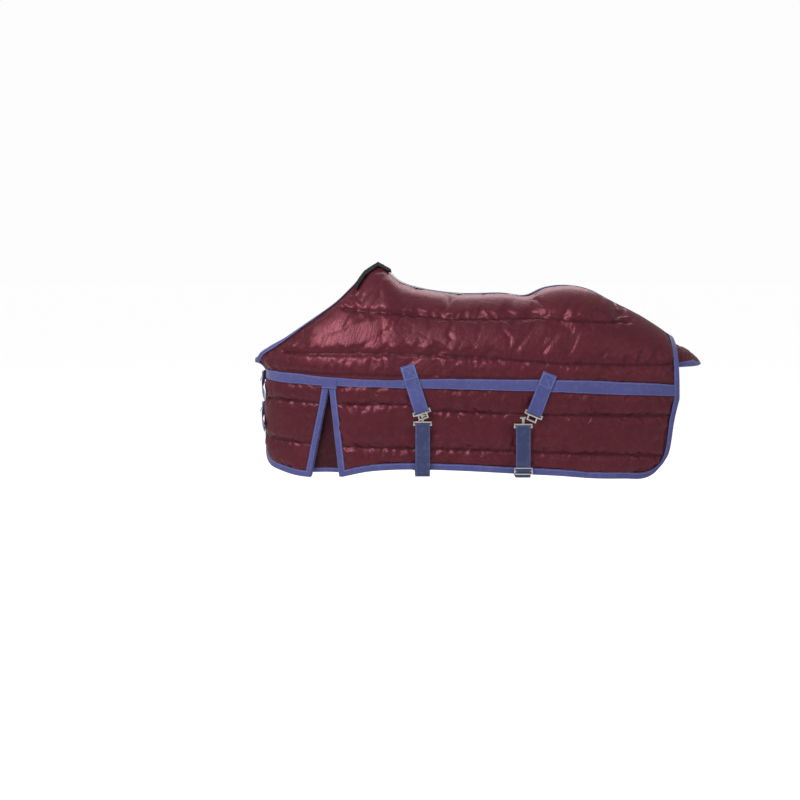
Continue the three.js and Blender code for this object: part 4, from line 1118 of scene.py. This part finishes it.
for name, c in surcingles.items():
    (topX, topZ), (eyeX, eyeZ) = c["top"], c["eye"]
    length = math.hypot(eyeX - topX, topZ - eyeZ)
    turn = math.atan2(eyeX - topX, topZ - eyeZ)

    def upperWorld(q, w, curl, topX=topX, topZ=topZ, turn=turn):
        x = topX + w * math.cos(turn) - q[:, 1] * math.sin(turn)
        z = topZ + q[:, 1] * math.cos(turn) + w * math.sin(turn)
        return np.stack([x, q[:, 0] - curl, z], 1)

    lie = lambda t: -max(surfaceOut(topX + (eyeX - topX) * t / length + w,
        topZ - (topZ - eyeZ) * t / length + w * math.tan(turn)) + 15.6
                         for w in (-24, 0, 24))
    front, back = -(straps["plateY"] + straps["fold"]), -(straps["plateY"] - straps["fold"])
    outer = [(lie(t), -t) for t in (0, 14, 28, 42, 56, 70)]
    outer += [(front, -(length - 30)), (front, -length + straps["fold"])]
    path = outer + arc(-straps["plateY"], straps["fold"] - length, straps["fold"], -math.pi, 0)
    path += [(back, -(length - 20)), (min(lie(80), back + 2), -(length - 62))]
    strap = makeStrap(name + "_upper_webbing", path, straps["wide"], upperWorld, straps["thick"], 0.8, 3)
    finishPiece(strap, "rug", strapWeb, (name + "_upper_strap",))

    def lowWorld(q, w, curl, low=c["low"]):
        return np.stack([low + w, q[:, 0] - curl, q[:, 1]], 1)

    h, bottom, bend = straps["hookY"], c["floor"], straps["bend"]
    outY = h + straps["fold"]
    belly = [(straps["fold"] - h, c["hook"] - 30), (straps["fold"] - h, c["hook"] - straps["fold"])]
    belly += arc(-h, c["hook"] - straps["fold"], straps["fold"], 0, math.pi)
    belly += arc(bend - outY, bottom + bend, bend, math.pi, 1.5 * math.pi)
    belly += [(y, bottom - 1.5 * math.cos(y / outY * math.pi / 2)) for y in np.linspace(-outY + 60,
        outY - 60, 9)]
    belly += arc(outY - bend, bottom + bend, bend, -math.pi / 2, 0)
    strap = makeStrap(name + "_belly_webbing", belly, straps["wide"], lowWorld, straps["thick"], 0.6, 7)
    finishPiece(strap, name + "_belly", bellyWeb, (name + "_belly_strap",))

    if name == "front":
        middle = (-150.0, bottom - 2.8)
        wrap = [(middle[0] + 5, middle[1] + 1.4)] + [(middle[0] + 5 * math.cos(t),
            middle[1] + 2.9 * math.sin(t)) for t in np.linspace(0.3, -math.pi - 0.3, 14)]
    else:
        middle = (-(outY + 2.8), bottom + 24)
        wrap = [(middle[0] + 1.4, middle[1] + 5)] + [(middle[0] + 2.9 * math.cos(t),
            middle[1] + 5 * math.sin(t)) for t in np.linspace(math.pi / 2 - 0.3, 1.5 * math.pi + 0.3, 14)]
    strap = makeStrap(name + "_slide_wrap", wrap, straps["wide"] - 1, lowWorld, 1.1)
    finishPiece(strap, name + "_slide", bellyWeb)

    hemZ = bottom + (24 if name == "front" else 13)
    outAt = lambda z: max(surfaceOut(c["low"] + w, z) for w in (-24, 0, 24)) + 16.6
    anchor = [(outAt(hemZ + 70), hemZ + 70), (outAt(hemZ + 45), hemZ + 45), (outAt(hemZ + 25), hemZ + 25),
              (outY, hemZ + 2), (outY, bottom + bend + 2)]
    strap = makeStrap(name + "_off_webbing", anchor, straps["wide"], lowWorld, straps["thick"])
    finishPiece(strap, "rug", bellyWeb, (name + "_off_anchor",))
print("surcingles made")

# chest closures
chest = {"face": -792.1, "radius": 300.0, "tilt": 0.35, "bar": 48.0,
    "levels": {"upper": -312.0, "lower": -425.0}}


def chestBow(start, end, offset, steps=16):
    return [(chest["face"] - offset + y * y / (2 * chest["radius"]), y) for y in np.linspace(start, end,
        steps)]


chestWeb = tapeMaterial("blue chest webbing", (0.06, 0.075, 0.29, 1), (0.10, 0.12, 0.40, 1), 0.038, 0.0022,
    0.66)
for name, level in chest["levels"].items():
    def chestWorld(q, w, curl, level=level):
        s, c = math.sin(chest["tilt"]), math.cos(chest["tilt"])
        return np.stack([q[:, 0] - curl, q[:, 1] * c - w * s, level + q[:, 1] * s + w * c], 1)

    strap = makeStrap(name + "_chest_webbing", chestBow(-105, chest["bar"] - 12, 1), straps["chestWide"],
        chestWorld, 2.0, 0.4, 5)
    finishPiece(strap, "rug", chestWeb, (name + "_chest_strap",))
    foldX = chest["face"] - 4.1
    turn = [(x, y) for x, y in arc(foldX, chest["bar"], 4, math.pi, 2 * math.pi)][::-1]
    tab = [(foldX + 4, chest["bar"] + 6)] + turn + [(foldX - 4,
        chest["bar"] + 6)] + chestBow(chest["bar"] + 16, 128, 4)
    strap = makeStrap(name + "_chest_tab_webbing", tab, straps["chestWide"], chestWorld, 2.0)
    finishPiece(strap, "rug", chestWeb, (name + "_chest_tab",))
print("chest straps made")

# bright metal fittings: the plates with their edges rounded
fittings = {"round": 0.7, "segments": 3}


def copySolid(node, newName):
    deselectAll()
    source = bpy.data.objects[node]
    obj = source.copy()
    obj.data = source.data.copy()
    obj.name = obj.data.name = newName
    for key in list(obj.keys()):
        del obj[key]
    bpy.context.collection.objects.link(obj)
    inEdit(obj, lambda: bpy.ops.mesh.remove_doubles(threshold=0.00002),
           lambda: bpy.ops.mesh.normals_make_consistent(inside=False))
    return obj


def roundedFitting(node, body, newName):
    obj = copySolid(node, newName)
    inEdit(obj, lambda: bpy.ops.mesh.dissolve_limited(angle_limit=math.radians(3)),
           lambda: bpy.ops.mesh.normals_make_consistent(inside=False))
    b = obj.modifiers.new("round", "BEVEL")
    b.width, b.segments = fittings["round"] * mm, fittings["segments"]
    b.limit_method, b.angle_limit = "ANGLE", math.radians(50)
    applyAll(obj)
    finishPiece(smooth(obj, 40), body, brightPlate, (node,))
    return obj


for name in ("front", "rear"):
    roundedFitting(name + "_eye_plate", name + "_eye", name + "_eye_fitting")
    roundedFitting(name + "_t_hook", name + "_hook", name + "_hook_fitting")
    roundedFitting(name + "_slider", name + "_slide", name + "_slide_fitting")
for name in ("upper", "lower"):
    roundedFitting(name + "_chest_buckle", name + "_buckle", name + "_buckle_frame")
    roundedFitting(name + "_chest_prong", name + "_prong", name + "_buckle_prong")
print("fittings made")


# stuffed pieces grown from their solids: tail flap and withers pad
stuffed = {"voxel": 0.004, "pressure": 4.0, "frames": 20, "flapCap": 4.0, "padVoxel": 0.0026}


def remesh(obj, voxel):
    m = obj.modifiers.new("remesh", "REMESH")
    m.mode, m.voxel_size = "VOXEL", voxel
    s = obj.modifiers.new("ease", "SMOOTH")
    s.factor, s.iterations = 0.5, 4
    applyAll(obj)


flap = copySolid("tail_flap", "tail_flap_quilt")
remesh(flap, stuffed["voxel"])
start = getPoints(flap)
normals = np.array([v.normal[:] for v in flap.data.vertices])
root = 1 - ease((start[:, 0] - 0.678) / 0.05, 0, 1)
group = flap.vertex_groups.new(name="sewn")
group.add([int(k) for k in np.nonzero(root > 0.5)[0]], 1.0, "REPLACE")
activate(flap)
bpy.ops.object.modifier_add(type="CLOTH")
cloth = flap.modifiers[-1]
cloth.settings.vertex_group_mass = "sewn"
cloth.settings.shrink_min = cloth.settings.shrink_max = -0.03
cloth.settings.bending_stiffness = 0.2
cloth.settings.use_pressure, cloth.settings.uniform_pressure_force = True, stuffed["pressure"]
runCloth(flap, cloth, stuffed["frames"])
move = getPoints(flap) - start
size = np.linalg.norm(move, axis=1, keepdims=True)
limit = stuffed["flapCap"] * mm
start = start + move * np.minimum(1, limit / np.maximum(size, 1e-9))
flap.vertex_groups.clear()
print("tail flap settled")
# two sewn lines across the flap, and puckers beside them
drop = np.hypot(start[:, 0] - 0.69, start[:, 2] + 0.16)
channel = np.minimum(np.abs(drop - 0.045), np.abs(drop - 0.085)) / mm
pucker = noise2(start[:, 1] * 55, start[:, 0] * 20) * 1.2 * np.exp(-(channel / 12) ** 2)
puff = 1.6 - 3.4 * np.exp(-(channel / 5) ** 2) + pucker
setPoints(flap, start + normals * (puff * (1 - root))[:, None] * mm * 0.7)
m = flap.modifiers.new("fine", "SUBSURF")
m.levels = m.render_levels = 1
applyAll(flap)
flap.data.shade_smooth()
flapCloth = satinMaterial("maroon flap nylon", satin["colour"], satin["light"], satin["rough"],
    satin["sheen"], satin["metal"], seams=False)
finishPiece(flap, "tail_flap", flapCloth, ("tail_flap",))

padDrop, padSpread = 20.0, 0.32      # how far its lower edges hang past the solid
pad = copySolid("withers_pad", "withers_fleece")
remesh(pad, stuffed["padVoxel"])
p = getPoints(pad)
normals = np.array([v.normal[:] for v in pad.data.vertices])
low = np.clip(np.abs(p[:, 1]) / np.abs(p[:, 1]).max(), 0, 1)
p[:, 2] -= padDrop * mm * low ** 1.5
p[:, 1] *= 1 + padSpread * low
tuft = noise2(p[:, 0] * 190 + p[:, 2] * 70, p[:, 1] * 190 + p[:, 2] * 120) + 0.6 * noise2(p[:, 0] * 420,
    p[:, 1] * 420 + p[:, 2] * 300)
setPoints(pad, p + normals * (0.9 * tuft + 0.3)[:, None] * mm)
m = pad.modifiers.new("fine", "SUBSURF")
m.levels = m.render_levels = 1
applyAll(pad)
pad.data.shade_smooth()
finishPiece(pad, "rug", fleeceCloth, ("withers_pad",))


flapCut = {"reach": 109.0, "half": 150.0, "drop": 82.0, "thickness": 6.0, "clear": 6.0, "tuck": 22.0}


def flapPoint(across, down):
    # across from -1 to 1, down from the root to the rim, in metres
    f = flapCut
    row = 0.02 + 0.42 * np.abs(across)
    u = np.full(row.shape, 15.0)
    rootAt = clothAt(u, row) / mm - clothNormal(u, row) * f["clear"]
    y = rootAt[:, 1] * np.sign(across) * np.minimum(1, 6 * np.abs(across))
    start = np.stack([rootAt[:, 0] - f["tuck"], y, rootAt[:, 2]], 1)
    top = curveAt(topLine[:, :3], np.array([15.0]))[0]
    reach = f["reach"] * (1 - np.abs(across) ** 2.4)
    tip = np.stack([top[0] + reach - 8 * np.abs(across), f["half"] * across,
        np.full(row.shape, top[2] - f["drop"] - f["thickness"])], 1)
    crown = start + (tip - start) * np.array([0.72, 0.8, 0.28])
    t = down[:, None]
    return ((1 - t) ** 2 * start + 2 * t * (1 - t) * crown + t * t * tip) * mm


def makeFlapEdge():
    def place(sv, tv):
        a = 2 * sv - 1
        one = np.ones(a.shape)
        e = flapPoint(a, one)
        inner = flapPoint(a, one - 0.02)
        sideways = flapPoint(np.minimum(a + 0.01, 1), one) - flapPoint(np.maximum(a - 0.01, -1), one)
        down = e - inner
        down /= np.linalg.norm(down, axis=1, keepdims=True)
        n = np.cross(down, sideways)
        n /= np.linalg.norm(n, axis=1, keepdims=True)
        leg = 1 - np.clip(tv / 0.38, 0, 1) + np.clip((tv - 0.62) / 0.38, 0, 1)
        turn = np.clip((tv - 0.38) / 0.24, 0, 1)
        lift = 2.4 + (-flapCut["thickness"] - 4.8) * (0.5 - 0.5 * np.cos(turn * math.pi))
        beyond = 2.2 * np.sqrt(np.sin(turn * math.pi).clip(0, 1))
        deep = flapPoint(a, one - 0.19)
        p = e + (deep - e) * leg[:, None] + n * lift[:, None] * mm + down * beyond[:, None] * mm
        return p, np.stack([sv * 0.42, (tv - 0.5) * 0.04], 1)

    obj = laidGrid("tail_flap_edge", 70, 18, place, 1)
    thicken(obj, tape["thickness"] * mm, 0)
    return smooth(obj, 60)


finishPiece(makeFlapEdge(), "tail_flap", bindTape, ("tail_flap_binding",))
print("flap and pad made")


# camera, floor and light
view = {"place": (-0.292, -4.0, 0.116), "lens": 49.3, "shiftY": -0.169, "floor": -1.285}
cam = bpy.data.cameras.new("camera")
cam.lens, cam.sensor_width, cam.shift_y = view["lens"], 36, view["shiftY"]
camObj = bpy.data.objects.new("camera", cam)
bpy.context.collection.objects.link(camObj)
camObj.location = view["place"]
camObj.rotation_euler = (math.pi / 2, 0, 0)
bpy.context.scene.camera = camObj

deselectAll()
bpy.ops.mesh.primitive_plane_add(size=160, location=(0, 0, view["floor"]))
floor = bpy.context.active_object
floor.name = "floor"
floorLook, tree, shader = newMaterial("pale floor")
shader.inputs["Base Color"].default_value = (0.9, 0.9, 0.9, 1)
shader.inputs["Roughness"].default_value = 0.9
shader.inputs["Emission Color"].default_value = (1, 1, 1, 1)
seen = tree.nodes.new("ShaderNodeLightPath").outputs["Is Camera Ray"]
link(tree, mathNode(tree, "MULTIPLY", seen, 0.66), shader.inputs["Emission Strength"])
floor.data.materials.append(floorLook)


def softLight(name, place, aim, size, power):
    light = bpy.data.lights.new(name, "AREA")
    light.shape, light.size, light.energy = "SQUARE", size, power
    obj = bpy.data.objects.new(name, light)
    bpy.context.collection.objects.link(obj)
    obj.location = place
    obj.rotation_euler = (Vector(aim) - Vector(place)).to_track_quat("-Z", "Y").to_euler()
    return obj


softLight("key", (-1.9, -2.3, 2.7), (0, 0, -0.2), 1.7, 100)
softLight("fill", (2.6, -2.6, 1.0), (0, 0, -0.3), 2.2, 9)
softLight("back", (0.5, 3.2, 2.2), (0, 0, -0.2), 2.5, 40)
world = bpy.data.worlds.new("studio")
world.use_nodes = True
skyTree = world.node_tree
dim = skyTree.nodes["Background"]
dim.inputs[0].default_value = (1, 1, 1, 1)
dim.inputs[1].default_value = 0.36
bright = skyTree.nodes.new("ShaderNodeBackground")
bright.inputs[0].default_value = (1, 1, 1, 1)
bright.inputs[1].default_value = 0.98
blendSky = skyTree.nodes.new("ShaderNodeMixShader")
skyTree.links.new(skyTree.nodes.new("ShaderNodeLightPath").outputs["Is Camera Ray"], blendSky.inputs[0])
skyTree.links.new(dim.outputs[0], blendSky.inputs[1])
skyTree.links.new(bright.outputs[0], blendSky.inputs[2])
skyOut = next(n for n in skyTree.nodes if n.type == "OUTPUT_WORLD")
skyTree.links.new(blendSky.outputs[0], skyOut.inputs[0])
bpy.context.scene.world = world
bpy.context.scene.view_settings.view_transform = "Standard"
